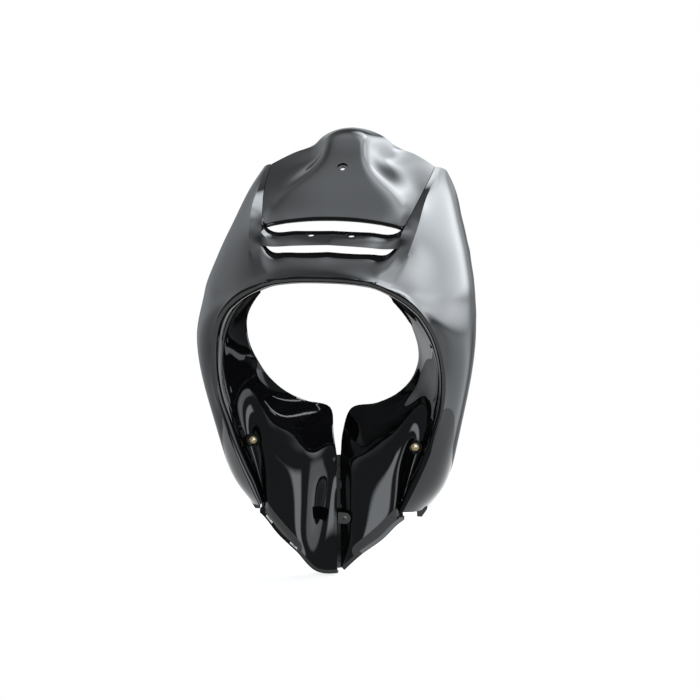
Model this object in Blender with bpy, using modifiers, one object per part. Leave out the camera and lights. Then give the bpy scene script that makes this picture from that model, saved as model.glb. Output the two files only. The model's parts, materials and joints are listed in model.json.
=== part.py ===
# Front fairing panel of a small motorcycle: a painted outer moulding with a round-ended opening,
# a bolted-on top cowl, and two lower cover halves that form the bowl and meet on a tongued seam.
# X is to the viewer's right, Y is rearward, Z is up, as the panel hangs on the machine.
import math

import bmesh
import bpy
import numpy as np
from mathutils import Vector
from mathutils.bvhtree import BVHTree

mm = 0.001

# Driving sizes, in millimetres
half_width = 164.3
full_depth = 217.5
full_height = 511.6
wall = 2.2                  # plastic wall of every moulding
fit_gap = 0.4               # clearance between two mouldings that meet
seam_gap = 0.35             # clearance at laps and under screw heads

rim_roll = 9.4              # how far the rim turns in towards the opening
rim_return = 15.0           # how far the rim turns back
ledge_depth = 17.0          # top of the bar under the upper slot
ledge_rise = 4.0
slot_return = 9.0           # walls behind the lower slot
slot_rise = 7.4             # how far the lower one rises
slot_end_turn = 5.0         # how far both turn inward at the slot's ends
side_return = 13.0          # flanges along the gap between cowl and wings
rear_lip = 4.0              # inward lip on the wing's rear edge
hook_outline = ((93.5, -168.5), (109.0, -167.0), (108.0, -173.5), (101.8, -183.2), (96.0, -183.2),
                (95.4, -177.0))
hook_front = 104.0
hook_thickness = 2.6

bar_hole_spacing = 47.0     # two empty screw holes in the bar
bar_hole = 6.0
bar_hole_back = 9.5         # from the ledge's front edge
bar_seat = 12.0
bar_seat_depth = 0.7
cowl_hole = 6.0             # empty screw hole in the cowl, in a dished seat
cowl_seat = 13.0
cowl_seat_depth = 1.0

bead_radius = 3.1           # rolled lower edge of the cowl
lip_width = 5.0             # lip along the lower covers' V-shaped edge
lip_step = 1.6
lip_return = 5.0
lip_slot_shares = (0.17, 0.6)
lip_slot_length = 11.0
lip_slot_width = 2.2
seam_overhang = 22.0        # how far the left half's edge runs past the mirrored seam

strip_width = 4.6           # tongue strip along the seam
strip_step = 1.3
lap_width = 6.0             # lap of the other half behind the strip
tongue_groove = 1.1
tongue_heights = (-119.4, -135.3, -213.6, -225.5)
pad_diameter = 13.5         # round-ended screw tab beside the seam
pad_hole = 5.4
pad_rise = 10.0
pad_height = -175.5
pad_beside = 13.4
pad_clear = 0.6

insert_bore = 5.2           # captive nuts in the side channels
insert_body = 7.2
insert_flange = 9.0
insert_flange_thickness = 1.0
insert_length = 9.0
seat_diameter = 12.0
seat_depth = 2.6

screw_shank = 4.0
screw_head = 8.0
screw_head_height = 2.6
screw_length = 12.0
clear_hole = screw_shank + 2 * seam_gap
boss_diameter = 9.0
lug_thickness = 2.6
lug_width = 11.0

# The control points below are drawn on this size and follow the three overall sizes above.
drawn = (164.3, 217.5, 511.6)
drawn_middle = (0.0, 110.19, 15.18)
unit = (half_width / drawn[0], full_depth / drawn[1], full_height / drawn[2])

for thing in list(bpy.data.objects):
    bpy.data.objects.remove(thing, do_unlink=True)
for group in list(bpy.data.collections):
    bpy.data.collections.remove(group)

panel = bpy.data.collections.new("front_fairing_panel")
cutters = bpy.data.collections.new("cutters")
bpy.context.scene.collection.children.link(panel)
bpy.context.scene.collection.children.link(cutters)


def material(name, colour, roughness, metallic=0.0, coat=0.0):
    made = bpy.data.materials.new(name)
    made.use_nodes = True
    shader = made.node_tree.nodes["Principled BSDF"]
    shader.inputs["Base Color"].default_value = (*colour, 1.0)
    shader.inputs["Roughness"].default_value = roughness
    shader.inputs["Metallic"].default_value = metallic
    shader.inputs["Coat Weight"].default_value = coat
    return made


def placed(point):
    # from the drawing's millimetres to metres about the panel's middle
    return np.array([(point[k] - drawn_middle[k]) * unit[k] * mm for k in range(3)])


def through(points, spans, sharp=None):
    # smooth curve through every point, each span cut into the given number of steps;
    # sharp gives each point a share from 0 (smooth) to 1 (a corner)
    p = np.array(points, float)
    count = len(p) - 1
    steps = [spans] * count if isinstance(spans, int) else list(spans)
    h = np.maximum(np.linalg.norm(np.diff(p, axis=0), axis=1), 1e-6)
    slope = np.diff(p, axis=0) / h[:, None]
    tangent = np.zeros_like(p)
    for i in range(1, count):
        tangent[i] = (slope[i] * h[i - 1] + slope[i - 1] * h[i]) / (h[i] + h[i - 1])
    tangent[0] = slope[0] if count == 1 else 1.5 * slope[0] - 0.5 * tangent[1]
    tangent[-1] = slope[-1] if count == 1 else 1.5 * slope[-1] - 0.5 * tangent[-2]
    share = np.zeros(count + 1) if sharp is None else np.array(sharp, float)
    out = [p[0]]
    for i in range(count):
        leave = tangent[i] + (slope[i] - tangent[i]) * share[i]
        arrive = tangent[i + 1] + (slope[i] - tangent[i + 1]) * share[i + 1]
        for s in range(1, steps[i] + 1):
            t = s / steps[i]
            a, b = 2 * t**3 - 3 * t**2 + 1, t**3 - 2 * t**2 + t
            c, d = -2 * t**3 + 3 * t**2, t**3 - t**2
            out.append(a * p[i] + b * h[i] * leave + c * p[i + 1] + d * h[i] * arrive)
    return np.array(out)


def net(rows, along, across, along_sharp=None, across_sharp=None):
    # loft: curves down the columns first, then across each of their steps
    many, wide = len(rows), len(rows[0])
    down = np.zeros((many, wide)) if along_sharp is None else np.array(along_sharp, float)
    over = np.zeros((many, wide)) if across_sharp is None else np.array(across_sharp, float)
    columns = [through([row[c] for row in rows], along, down[:, c]) for c in range(wide)]
    steps = [along] * (many - 1) if isinstance(along, int) else along
    place = [i + s / n for i, n in enumerate(steps) for s in range(n)] + [many - 1]
    out = []
    for i, at in enumerate(place):
        share = [np.interp(at, range(many), over[:, c]) for c in range(wide)]
        out.append(through([column[i] for column in columns], across, share))
    return out


def add_grid(bm, grid):
    rows = [[bm.verts.new(point) for point in row] for row in grid]
    for a, b in zip(rows, rows[1:]):
        for i in range(len(a) - 1):
            bm.faces.new((a[i], a[i + 1], b[i + 1], b[i]))


def open_mesh(name, grids, outward):
    # one welded open surface; outward is a direction that its first face looks towards
    bm = bmesh.new()
    for grid in grids:
        add_grid(bm, [[placed(point) for point in row] for row in grid])
    bmesh.ops.remove_doubles(bm, verts=bm.verts, dist=0.00002)
    bmesh.ops.dissolve_degenerate(bm, edges=bm.edges, dist=0.00002)
    bmesh.ops.recalc_face_normals(bm, faces=bm.faces)
    bm.faces.ensure_lookup_table()
    if bm.faces[0].normal.dot(outward) < 0:
        bmesh.ops.reverse_faces(bm, faces=bm.faces)
    mesh = bpy.data.meshes.new(name)
    bm.to_mesh(mesh)
    bm.free()
    return mesh


def new_object(name, mesh, finish=None, group=panel):
    made = bpy.data.objects.new(name, mesh)
    group.objects.link(made)
    if finish:
        mesh.materials.append(finish)
        mesh.shade_smooth()
        mesh.set_sharp_from_angle(angle=math.radians(38))
    if group is cutters:
        made.hide_render = True
        made.display_type = "WIRE"
    return made


def shell(thing, mirrored=False):
    if mirrored:
        mirror = thing.modifiers.new("other half", "MIRROR")
        mirror.use_clip = True
        mirror.merge_threshold = 0.0001
    solid = thing.modifiers.new("wall", "SOLIDIFY")
    solid.thickness = wall * mm
    solid.offset = -1.0
    solid.solidify_mode = "NON_MANIFOLD"
    solid.nonmanifold_thickness_mode = "FIXED"


def boolean(thing, cutter, operation):
    step = thing.modifiers.new(operation.lower(), "BOOLEAN")
    step.operation = operation
    step.object = cutter
    step.solver = "EXACT"


tools = {}


def add_body(thing, tool):
    tools.setdefault((thing.name, "UNION"), []).append(tool)


def cut_away(thing, tool):
    tools.setdefault((thing.name, "DIFFERENCE"), []).append(tool)


def apply_tools(thing):
    # all added bodies in one union, then all cuts in one difference
    for operation in ("UNION", "DIFFERENCE"):
        parts = tools.get((thing.name, operation), [])
        if not parts:
            continue
        bm = bmesh.new()
        for tool in parts:
            bm.from_mesh(tool.data)
        mesh = bpy.data.meshes.new("%s %s" % (thing.name, operation.lower()))
        bm.to_mesh(mesh)
        bm.free()
        boolean(thing, new_object(mesh.name, mesh, None, cutters), operation)
        for tool in parts:
            bpy.data.objects.remove(tool, do_unlink=True)


def turned(name, profile, at, axis, finish=None, group=panel, steps=24):
    # solid of revolution: profile is (radius, distance along axis) from end to end, in millimetres
    axis = np.array(axis, float) / np.linalg.norm(axis)
    side = np.cross(axis, (0.0, 0.0, 1.0))
    if np.linalg.norm(side) < 0.1:
        side = np.array((1.0, 0.0, 0.0))
    side /= np.linalg.norm(side)
    other = np.cross(axis, side)
    bm = bmesh.new()
    rings = []
    for radius, along in profile:
        middle = np.array(at) + axis * along * mm
        if radius == 0:
            rings.append([bm.verts.new(middle)])
            continue
        ring = []
        for k in range(steps):
            turn = 2 * math.pi * k / steps
            ring.append(bm.verts.new(middle + (side * math.cos(turn) + other * math.sin(turn)) * radius * mm))
        rings.append(ring)
    closed = profile[0][0] != 0
    pairs = list(zip(rings, rings[1:])) + ([(rings[-1], rings[0])] if closed else [])
    for a, b in pairs:
        for k in range(steps):
            n = (k + 1) % steps
            if len(a) == 1:
                bm.faces.new((a[0], b[n], b[k]))
            elif len(b) == 1:
                bm.faces.new((a[k], a[n], b[0]))
            else:
                bm.faces.new((a[k], a[n], b[n], b[k]))
    bmesh.ops.recalc_face_normals(bm, faces=bm.faces)
    mesh = bpy.data.meshes.new(name)
    bm.to_mesh(mesh)
    bm.free()
    return new_object(name, mesh, finish, group)


def rod(radius, length):
    return [(0, 0), (radius, 0), (radius, length), (0, length)]


def plate(name, middle, size, axes, group=cutters):
    # box in metres about its middle, with its own three axes
    bm = bmesh.new()
    bmesh.ops.create_cube(bm, size=1.0)
    for vert in bm.verts:
        vert.co = sum((np.array(axes[k]) * vert.co[k] * size[k] * mm for k in range(3)), np.array(middle))
    bmesh.ops.recalc_face_normals(bm, faces=bm.faces)
    mesh = bpy.data.meshes.new(name)
    bm.to_mesh(mesh)
    bm.free()
    return new_object(name, mesh, None, group)


def prism(name, outline, front, depth):
    # flat outline of (x, z) points in drawing millimetres, run back from a given depth
    bm = bmesh.new()
    rings = [[bm.verts.new(placed((x, front + step, z))) for x, z in outline] for step in (0.0, depth)]
    for i in range(len(outline)):
        n = (i + 1) % len(outline)
        bm.faces.new((rings[0][i], rings[0][n], rings[1][n], rings[1][i]))
    bm.faces.new(rings[0])
    bm.faces.new(rings[1][::-1])
    bmesh.ops.recalc_face_normals(bm, faces=bm.faces)
    mesh = bpy.data.meshes.new(name)
    bm.to_mesh(mesh)
    bm.free()
    return new_object(name, mesh, None, cutters)


def at_height(points, z):
    # the point at a given height on a line of points that runs downward
    for a, b in zip(points, points[1:]):
        if (a[2] - z) * (b[2] - z) <= 0 and a[2] != b[2]:
            t = (a[2] - z) / (a[2] - b[2])
            return np.array(a) + (np.array(b) - np.array(a)) * t
    return np.array(points[-1])


# Outer moulding, right half. Each row runs from the gap beside the cowl, over the crease, to the rear edge.
gap_line = [(101, 203, 225), (99, 172, 213.5), (96.5, 148, 204.5), (93.5, 126, 194.5), (89.5, 104, 183),
            (85.5, 84, 171.5), (81, 61, 158), (79.5, 51.5, 144.6), (78.6, 47.8, 141.2), (73, 28, 125.5),
            (67, 12, 115), (62, 2, 112)]
crease = [(106.5, 206.5, 223.6), (104.5, 168, 214.6), (103, 142, 206.4), (101.5, 118, 196.5),
          (100.5, 97, 184),
          (98.8, 79, 170), (96, 62, 156), (93.5, 53.5, 147), (90.5, 44.5, 136.5), (85.5, 31, 124),
          (79, 14, 112), (72, 2, 108)]
rim_side = [(90, 1.5, 100.5), (104, 3, 90), (119, 9, 71), (129, 19, 48), (134.5, 30, 22), (136.5, 39, -6),
            (133.5, 46.5, -37), (126, 52.5, -65), (117, 56.5, -95), (106, 57.5, -122), (95, 57, -146),
            (86, 56, -164.5)]
front_bulge = [(109, 209.5, 222.5), (110.5, 180, 211.6), (111, 160, 202.7), (112, 140, 191),
               (114, 122, 177),
               (116, 105, 162), (118, 88, 147), (119.5, 80, 138), (121, 71, 127), (123, 55, 112),
               (120, 36, 100), (114, 24, 96), (121, 25, 88), (130, 26, 76), (139, 30, 62), (147, 38, 44),
               (151.5, 48, 20), (151, 55, -6), (145.5, 61, -37), (137.5, 65.5, -67), (130, 69, -97),
               (120, 71, -125), (110, 72, -149), (98, 76.5, -169)]
side_bulge = [(112, 213, 220.5), (117.5, 196.5, 208.8), (122, 183, 199), (128, 172, 186), (133.5, 160, 171),
              (139, 148, 155), (145, 136, 140), (148, 129, 131), (150.5, 122, 121), (156, 107, 102),
              (158.5, 97, 90), (159.5, 93, 82), (160, 90, 76), (161.5, 85, 64), (163, 80, 50),
              (163.5, 76.5, 38), (162.5, 74.5, 20), (159.5, 74.5, -4), (154, 78, -35), (147.5, 84, -65),
              (140.5, 90, -97), (134, 96, -125), (126, 103, -150), (107.5, 110, -172)]
rear_edge = [(114, 217, 217.5), (119, 217, 208), (125, 210, 197), (129.5, 205, 184), (134, 195, 169),
             (140, 184, 152), (145, 173, 137), (148, 167, 129), (150.5, 160, 118), (155.5, 145, 100),
             (158, 135, 88), (159.2, 130.5, 80), (160, 127, 74), (161.5, 121, 62), (162, 116.5, 50),
             (162.3, 113.5, 38), (161.5, 111.5, 20), (158.8, 112, -4), (153.3, 118, -35), (147, 125.5, -65),
             (140.3, 133, -97), (133.8, 139.5, -126), (125, 146, -153), (112, 148, -174)]

# Front band between the rim and the bar: columns at the middle, part way out and near the slot's end.
bar_rows = [((0, 54, 154.3), (42, 55.5, 153.2), (68, 58.5, 153.6)),
            ((0, 42.5, 148.1), (42, 45.5, 145.9), (66, 48.8, 144.0))]
band_rows = [((0, 36, 132.2), (42, 38, 130.4), (64, 42, 131.6)),
             ((0, 21, 125.6), (42, 23, 124.2), (61, 25.5, 124.4)),
             ((0, 9, 119.5), (42, 9.5, 118), (57, 10.5, 116.6)), ((0, 2.5, 117.5), (38, 2.5, 116),
                                                                  (52, 2.3, 114.2))]
band_across = [4, 2, 2]
bar_row = 6                 # row of the gap line where the bar's top edge starts
slot_row = 7                # and where the lower slot starts and ends

wing_spans = [2] * 6 + [1] * 2 + [2] * 15
strip_spans = wing_spans[:11]


foot_fade = 75.0            # length over which the rim's roll fades in above its foot
corner_ease = 6             # rounds of easing of the roll's inner edge at the crease's foot
corner_reach = 5


def rim_offsets(chain):
    # the rim's roll: for each point, the direction towards the opening and two shares that fade at the foot
    out = []
    for i, point in enumerate(chain):
        before, after = chain[max(i - 1, 0)], chain[min(i + 1, len(chain) - 1)]
        if i == 0:
            before = (-chain[1][0], chain[1][1], chain[1][2])
        tx, tz = after[0] - before[0], after[2] - before[2]
        size = math.hypot(tx, tz)
        rise = (point[2] - rim_side[-1][2]) / foot_fade
        out.append((np.array((tz / size, 0.0, -tx / size)), min(1.0, 0.65 + rise), min(1.0, 0.45 + rise)))
    return out


def rim_roll_grid(chain, corner):
    profile = [(0.0, 0.0), (0.25, 0.03), (0.53, 0.16), (0.76, 0.37), (0.91, 0.66), (1.0, 1.0)]
    out = []
    for across, back in profile:
        row = [np.array(p) + way * across * rim_roll * turn + np.array((0, back * rim_return * deep, 0))
               for p, (way, turn, deep) in zip(chain, rim_offsets(chain))]
        for _ in range(round(corner_ease * across)):
            # rounds the roll off where the crease meets the rim
            near = range(max(1, corner - corner_reach), corner + corner_reach)
            eased = {i: (row[i - 1] + 2 * row[i] + row[i + 1]) / 4 for i in near}
            for i, point in eased.items():
                row[i] = point
        out.append(row)
    return out


crease_foot = len(crease) - 1
inner_sharp = [1.0 if i == crease_foot else 0.0 for i in range(len(wing_spans) + 1)]
wing_inner = through(crease + rim_side, wing_spans, inner_sharp)
strip_left = through(gap_line, strip_spans)
strip_right = wing_inner[:sum(strip_spans) + 1]
strip_grid = [through([a, b], 2) for a, b in zip(strip_left, strip_right)]
wing_columns = [wing_inner, through(front_bulge, wing_spans), through(side_bulge, wing_spans),
                through(rear_edge, wing_spans)]
wing_grid = [through([column[i] for column in wing_columns], [3, 3, 2]) for i in range(len(wing_inner))]

bar_start = sum(strip_spans[:bar_row])
slot_start = sum(strip_spans[:slot_row])
bar_ends = [strip_left[bar_start], strip_left[slot_start]]
bar_grid = [through([*row, end], band_across) for row, end in zip(bar_rows, bar_ends)]
band_ends = [strip_left[i] for i in range(slot_start + 1, len(strip_left))]
band_columns = [through([row[k] for row in band_rows], strip_spans[slot_row + 1:]) for k in range(3)]
band_grid = [through(row, band_across) for row in zip(*band_columns, band_ends)]

rim_chain = [tuple(p) for p in band_grid[-1]] + [tuple(p) for p in strip_grid[-1][1:]]
rim_chain += [tuple(p) for p in wing_inner[len(strip_right):]]
rim_grid = rim_roll_grid(rim_chain, len(band_grid[-1]) + len(strip_grid[-1]) - 2)

# Flanges: each is an edge repeated at offsets behind it.
upper_edge = [tuple(p) for p in bar_grid[0]] + [tuple(p) for p in strip_left[:bar_start][::-1]]


def upper_flange(step):
    out = []
    last = len(upper_edge) - 1
    for i, point in enumerate(upper_edge):
        side = min(1.0, max(0.0, (i - 8) / 2.0))
        ledge = np.array((0, ledge_depth, ledge_rise))
        deep = side_return * min(1.0, 0.5 + (last - i) / 6.0)
        gap = np.array((0.0, 0.6 * deep, -0.8 * deep))
        out.append(np.array(point) + (ledge * (1 - side) + gap * side) * step)
    return out


slot_loop = [tuple(p) for p in bar_grid[1]] + [tuple(p) for p in band_grid[0][::-1]]


def slot_flange(step):
    out = []
    half = len(bar_grid[1])
    for i, point in enumerate(slot_loop):
        from_end = abs(i - half + 0.5) - 0.5
        fade = min(1.0, 0.1 + 0.3 * from_end)
        rise = 0.5 if i < half else slot_rise * fade
        deep = slot_return * (0.8 if i < half else 1.2) * min(1.0, 0.4 + 0.3 * from_end)
        out.append(np.array(point) + np.array((-slot_end_turn * max(0.0, 1.0 - from_end / 2.0), deep,
                                               rise)) * step)
    return out


lip_grid = [wing_grid_row[-1] for wing_grid_row in wing_grid]
lip_inner = [np.array(p) + np.array((-rear_lip, 0.4 * rear_lip, 0)) * min(1.0, 0.3 + i / 8.0)
             for i, p in enumerate(lip_grid)]

outer_grids = [bar_grid, band_grid, strip_grid, wing_grid, rim_grid,
               [upper_edge, upper_flange(0.5), upper_flange(1.0)],
               [slot_loop, slot_flange(1.0)], [lip_grid, lip_inner]]

gloss_black = material("gloss black painted plastic", (0.006, 0.006, 0.007), 0.08, coat=0.6)
zinc = material("yellow zinc plated steel", (0.55, 0.43, 0.16), 0.35, metallic=1.0)
black_steel = material("blackened steel screw", (0.03, 0.03, 0.032), 0.4, metallic=1.0)

outer_shell = new_object("outer_shell", open_mesh("outer_shell", outer_grids, (0, -1, 0)), gloss_black)
shell(outer_shell, mirrored=True)

# Top cowl, right half: rows from the slot up to the rear edge, columns from the middle to the side.
cowl_rows = [
    [(0, 82.5, 176.4), (28, 82.5, 175.4), (55, 81.5, 172.4), (72, 80.5, 169.2), (79.5, 79.2, 167.6)],
    [(0, 92, 185), (25, 93.5, 184.8), (51, 99.5, 184.4), (73, 110, 184.6), (83, 107.5, 183.6)],
    [(0, 107, 200), (24, 110, 200.5), (46, 122, 201), (65, 145, 202), (81, 140, 200)],
    [(0, 121, 213.5), (22, 125, 214), (40, 138, 214), (54, 160, 214), (78, 165, 210)],
    [(0, 141, 233), (16, 143.5, 232.5), (27, 150, 231), (36, 166, 229), (68, 192, 226)],
    [(0, 157, 253.5), (16, 159, 251.5), (28, 166, 246), (36, 180, 238), (65, 204, 233)],
    [(0, 178, 270.2), (15, 179, 267.5), (28, 182, 257.5), (37, 189, 245.5), (64, 212, 240)],
    [(0, 203, 270.5), (19, 205.5, 267.5), (38, 211.5, 258.5), (52, 217, 249.5), (74, 217, 240)],
]
cowl_spans = 2
side_heights = [0.95, 0.83, 0.7, 0.54, 0.38, 0.22, 0.1, 0.0]


def beside_gap(share):
    # the cowl's side edge keeps a gap to the wing all along
    rise = [p for p in strip_left[:bar_start - 1]]
    i = share * (len(rise) - 1)
    low = min(int(i), len(rise) - 2)
    point = rise[low] + (rise[low + 1] - rise[low]) * (i - low)
    return tuple(point + np.array((-2.0 * fit_gap, 0.0, 0.0)))


for row, share in zip(cowl_rows, side_heights):
    row.append(beside_gap(share))
# shares of sharpness: the crest of the dome along its row, the valley beside the hood down its column
cowl_crest = np.zeros((len(cowl_rows), len(cowl_rows[0])))
cowl_crest[6, :4] = (0.8, 0.8, 0.8, 0.5)
cowl_crest[4, :3] = (0.5, 0.5, 0.3)
cowl_valley = np.zeros_like(cowl_crest)
cowl_valley[:, 3] = (1.0, 1.0, 1.0, 1.0, 0.9, 0.6, 0.3, 0.0)
cowl_grid = net(cowl_rows, cowl_spans, [3, 3, 2, 3, 2], cowl_crest, cowl_valley)
cowl_bottom = cowl_grid[0]


def rolled_edge(grid, radius, turn, straight):
    # the first row of a grid rolled backward through an angle, then run on straight
    out = [grid[0]]
    middle = len(grid[0]) // 2
    facing = np.cross(grid[0][middle] - grid[1][middle], (1.0, 0.0, 0.0))
    facing *= -np.sign(facing[1]) / np.linalg.norm(facing)
    for k in range(1, 6):
        angle = math.radians(turn) * k / 5
        row = []
        for p, above in zip(grid[0], grid[1]):
            down = (p - above) * np.array((0.0, 1.0, 1.0))
            down /= np.linalg.norm(down)
            row.append(p + radius * (math.sin(angle) * down + (math.cos(angle) - 1.0) * facing))
        row[-1] = row[-1] - np.array((0.3 * k, 0.0, 0.0))
        out.append(row)
    out.append([p + np.array((0.0, straight, 0.15 * straight)) for p in out[-1]])
    return out


cowl_side = [row[-1] for row in cowl_grid]
cowl_flange = [cowl_side, [p + np.array((0.0, 0.6, -0.8)) * side_return * min(1.0, 0.15 + i / 4.0)
                           for i, p in enumerate(cowl_side)]]
cowl_grids = [cowl_grid, rolled_edge(cowl_grid, bead_radius, 125.0, 8.0), cowl_flange]
top_cowl = new_object("top_cowl", open_mesh("top_cowl", cowl_grids, (0, -1, 0)), gloss_black)
shell(top_cowl, mirrored=True)

# Lower covers. Rows run from the rim's inner edge over channel, ridge and lobe to the opening or the seam.
bowl_rows = [
    [],
    [(99, 23, 78), (97, 25, 77), (95, 27, 76), (93.5, 29, 75), (92, 31, 74.5), (90.5, 33, 74)],
    [(116, 37, 46), (112.5, 40.5, 46.5), (109, 44, 47), (105, 48, 47.5), (101, 51.5, 48), (97.5, 55, 48.5)],
    [(121.5, 51, 21.5), (117.5, 56, 22), (113.5, 61, 23), (109, 66, 24), (104.5, 71, 25), (99.6, 76, 26)],
    [(122, 62, -6), (117.5, 69, -5), (113, 76, -4), (108, 83.5, -2), (102, 91, 0), (95.5, 98, 2)],
    [(119, 69, -29), (114, 77, -29), (109, 84, -28), (103, 92, -26), (95, 101.5, -23.5), (85, 110, -20)],
    [(114, 74, -50), (107.5, 80, -50), (100, 84, -49), (92, 89, -46), (82, 103, -42), (68, 115, -37)],
    [(109.5, 76.5, -66), (101.5, 80.5, -66.5), (90.5, 78, -66), (80, 81, -63), (66, 98, -56),
     (45, 118, -49)],
    [(106.5, 77.5, -80), (98, 79.5, -81), (86.5, 69.5, -80), (76, 70.5, -78), (47, 93, -70),
     (13, 123, -58)],
    [(103, 78, -93), (94.5, 78, -94), (84, 64, -94), (74, 63.5, -94), (43, 79.5, -88.5), (5.5, 106, -84)],
    [(99, 77.5, -105), (91.5, 77, -106), (81.5, 61.5, -107), (71, 59.5, -107), (37, 66, -106.5),
     (2, 87, -107)],
    [(93.5, 76, -119), (88.5, 75, -120), (79.5, 60, -122), (68.5, 57.2, -124), (34.5, 61.5, -128),
     (2.8, 82.5, -130)],
    [(88.3, 73, -137), (85, 71, -137.5), (78.3, 58, -138.5), (66, 55, -144), (34, 56.5, -153),
     (4.2, 76, -156)],
    [(84.3, 70.5, -149.5), (82, 67.5, -150.5), (77.5, 56.5, -152), (64.5, 53, -162), (34.5, 52, -177),
     (5.6, 69.5, -183)],
    [(80.8, 67, -159.3), (79.3, 64, -160.5), (77, 55.5, -163.5), (63.5, 51.5, -179), (35.5, 47, -198),
     (7.6, 59, -211)],
    [(83.8, 61, -171.6), (81.6, 60.2, -173), (78, 58.8, -175.6), (59.9, 51.5, -193.6), (34.9, 42.5, -212),
     (10.6, 43, -231.4)],
]
bowl_spans = [2] * 14 + [3]
across_spans = [2, 2, 2, 2, 3, 4]
ledge_row = 10
rim_heights = [88.5, 79.0, 47.0, 19.0, -8.0, -33.0, -55.0, -71.0, -85.0, -98.0, -110.0, -124.0, -138.0,
               -150.0, -159.5]
wing_junction = (85.6, 61.5, -170.5)
rim_edge = rim_grid[-1]
behind_rim = np.array((-0.25, fit_gap + 0.5, 0.0))
bowl_rows[0] = [tuple(at_height(rim_edge, z) + behind_rim) for z in (90.2, 91.8, 93.4, 94.9, 96.3, 97.5)]
# shares of sharpness: the ledge breaks across the lobes, the ridge breaks beside the channel
ledge_break = {ledge_row: (0.0, 0.0, 0.0, 0.0, 0.3, 1.0, 1.0)}
ridge_break = {7: 0.3, 8: 0.7, 9: 0.9, 10: 0.9, 11: 0.9, 12: 0.9, 13: 0.8, 14: 0.6}
ridge_column = 3
seam_line = [row[-1] for row in bowl_rows[ledge_row:]]


tip_drop = 3.2              # the left half's rounded tip hangs lower
seam_share = 0.12            # place of the left half's extra column above the ledge


def cover_rows(side):
    rows = []
    for i, row in enumerate(bowl_rows):
        if i < len(rim_heights):
            outer = at_height(rim_edge, rim_heights[i]) + behind_rim
            outer[1] += 0.4 * max(0, i - 12)
        else:
            outer = wing_junction
        full = [tuple(outer)] + list(row)
        x, y, z = row[-1]
        seam = (x + strip_width, y - 0.5, z) if side > 0 else (x - seam_gap, y + 1.0, z)
        full = [(side * p[0], p[1], p[2]) for p in full]
        if i >= ledge_row:
            # the left half reaches over the middle to the seam
            full = full[:-1] + [seam] if side > 0 else full + [seam]
            if side < 0 and i == len(bowl_rows) - 1:
                full[-2:] = [(px, py, pz - tip_drop) for px, py, pz in full[-2:]]
        elif side < 0:
            last, before = np.array(full[-1]), np.array(full[-2])
            full = full[:-1] + [tuple(last + (before - last) * seam_share)] + [tuple(last)]
        rows.append(full)
    return rows


def cover_grid(side):
    rows = cover_rows(side)
    down = np.zeros((len(rows), len(rows[0])))
    over = np.zeros((len(rows), len(rows[0])))
    for i, shares in ledge_break.items():
        down[i, :len(shares)] = shares
        down[i, len(shares):] = shares[-1]
    for i, share in ridge_break.items():
        over[i, ridge_column] = share
    spans = across_spans if side > 0 else across_spans + [2]
    return net(rows, bowl_spans, spans, down, over)


def v_lip(grid, side):
    # step, lip and return along the lower edge of a cover, from the wing's end to the seam
    edge = list(grid[-1])
    rows = [edge, [], [], []]
    for i, point in enumerate(edge):
        before, after = edge[max(i - 1, 0)], edge[min(i + 1, len(edge) - 1)]
        run = (after - before) * np.array((1.0, 0.0, 1.0))
        run /= np.linalg.norm(run)
        out = np.array((-run[2], 0.0, run[0])) * side
        grow = min(1.0, 0.35 + 0.35 * i)
        step = point + np.array((0.0, lip_step * grow, 0.0))
        rows[1].append(step)
        rows[2].append(step + out * lip_width * grow)
        rows[3].append(step + out * lip_width * grow + np.array((0.0, lip_return, 0.0)))
    return rows


def seam_edge(grid, side):
    # the right half steps back to a flat strip; the left half runs back and laps behind that strip
    first = sum(bowl_spans[:ledge_row])
    edge = [row[-1] for row in grid[first:-1]]
    if side > 0:
        step = [p + np.array((0.0, strip_step, 0.0)) for p in edge]
        return [edge, step, [p + np.array((-strip_width, 0.0, 0.0)) for p in step]]
    edge = edge[1:]
    web = [p + np.array((0.0, strip_step - 1.5 + 1.35 * wall + seam_gap, 0.0)) for p in edge]
    return [edge, web, [p + np.array((seam_gap + lap_width, 0.0, 0.0)) for p in web]]


def lower_cover(name, side):
    grid = cover_grid(side)
    grids = [grid, v_lip(grid, side), seam_edge(grid, side)]
    made = new_object(name, open_mesh(name, grids, (-side * 0.7, -0.7, 0)), gloss_black)
    shell(made)
    return made


cover_right = lower_cover("lower_cover_right", 1)
cover_left = lower_cover("lower_cover_left", -1)


# Fixings between the outer moulding and the covers: a boss between the rim's two walls, a lug on the
# cover behind it, and a screw through the lug from the rear.
cover_screw_heights = (42.0, -28.0, -122.0)
boss_reach = (21.0, 21.0, 15.7)
boss_start = 6.5
lug_bite = 0.8
back = np.array((0.0, 1.0, 0.0))


def screw(name, at, axis, length):
    # head seat at the given point, shank against the axis
    half, head = screw_shank / 2, screw_head / 2
    profile = [(0, -length), (0.6 * half, -length), (half, -length + 2.5), (half, 0),
               (head, 0), (head, 0.4 * screw_head_height), (0.72 * head, screw_head_height),
               (0, screw_head_height)]
    turned(name, profile, at, axis, black_steel, panel, 16)


def rim_place(height):
    chain = wing_inner[len(strip_right) - 1:]
    above, below = at_height(chain, height + 4.0), at_height(chain, height - 4.0)
    tx, tz = below[0] - above[0], below[2] - above[2]
    size = math.hypot(tx, tz)
    return at_height(chain, height), np.array((tz / size, 0.0, -tx / size))


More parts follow.
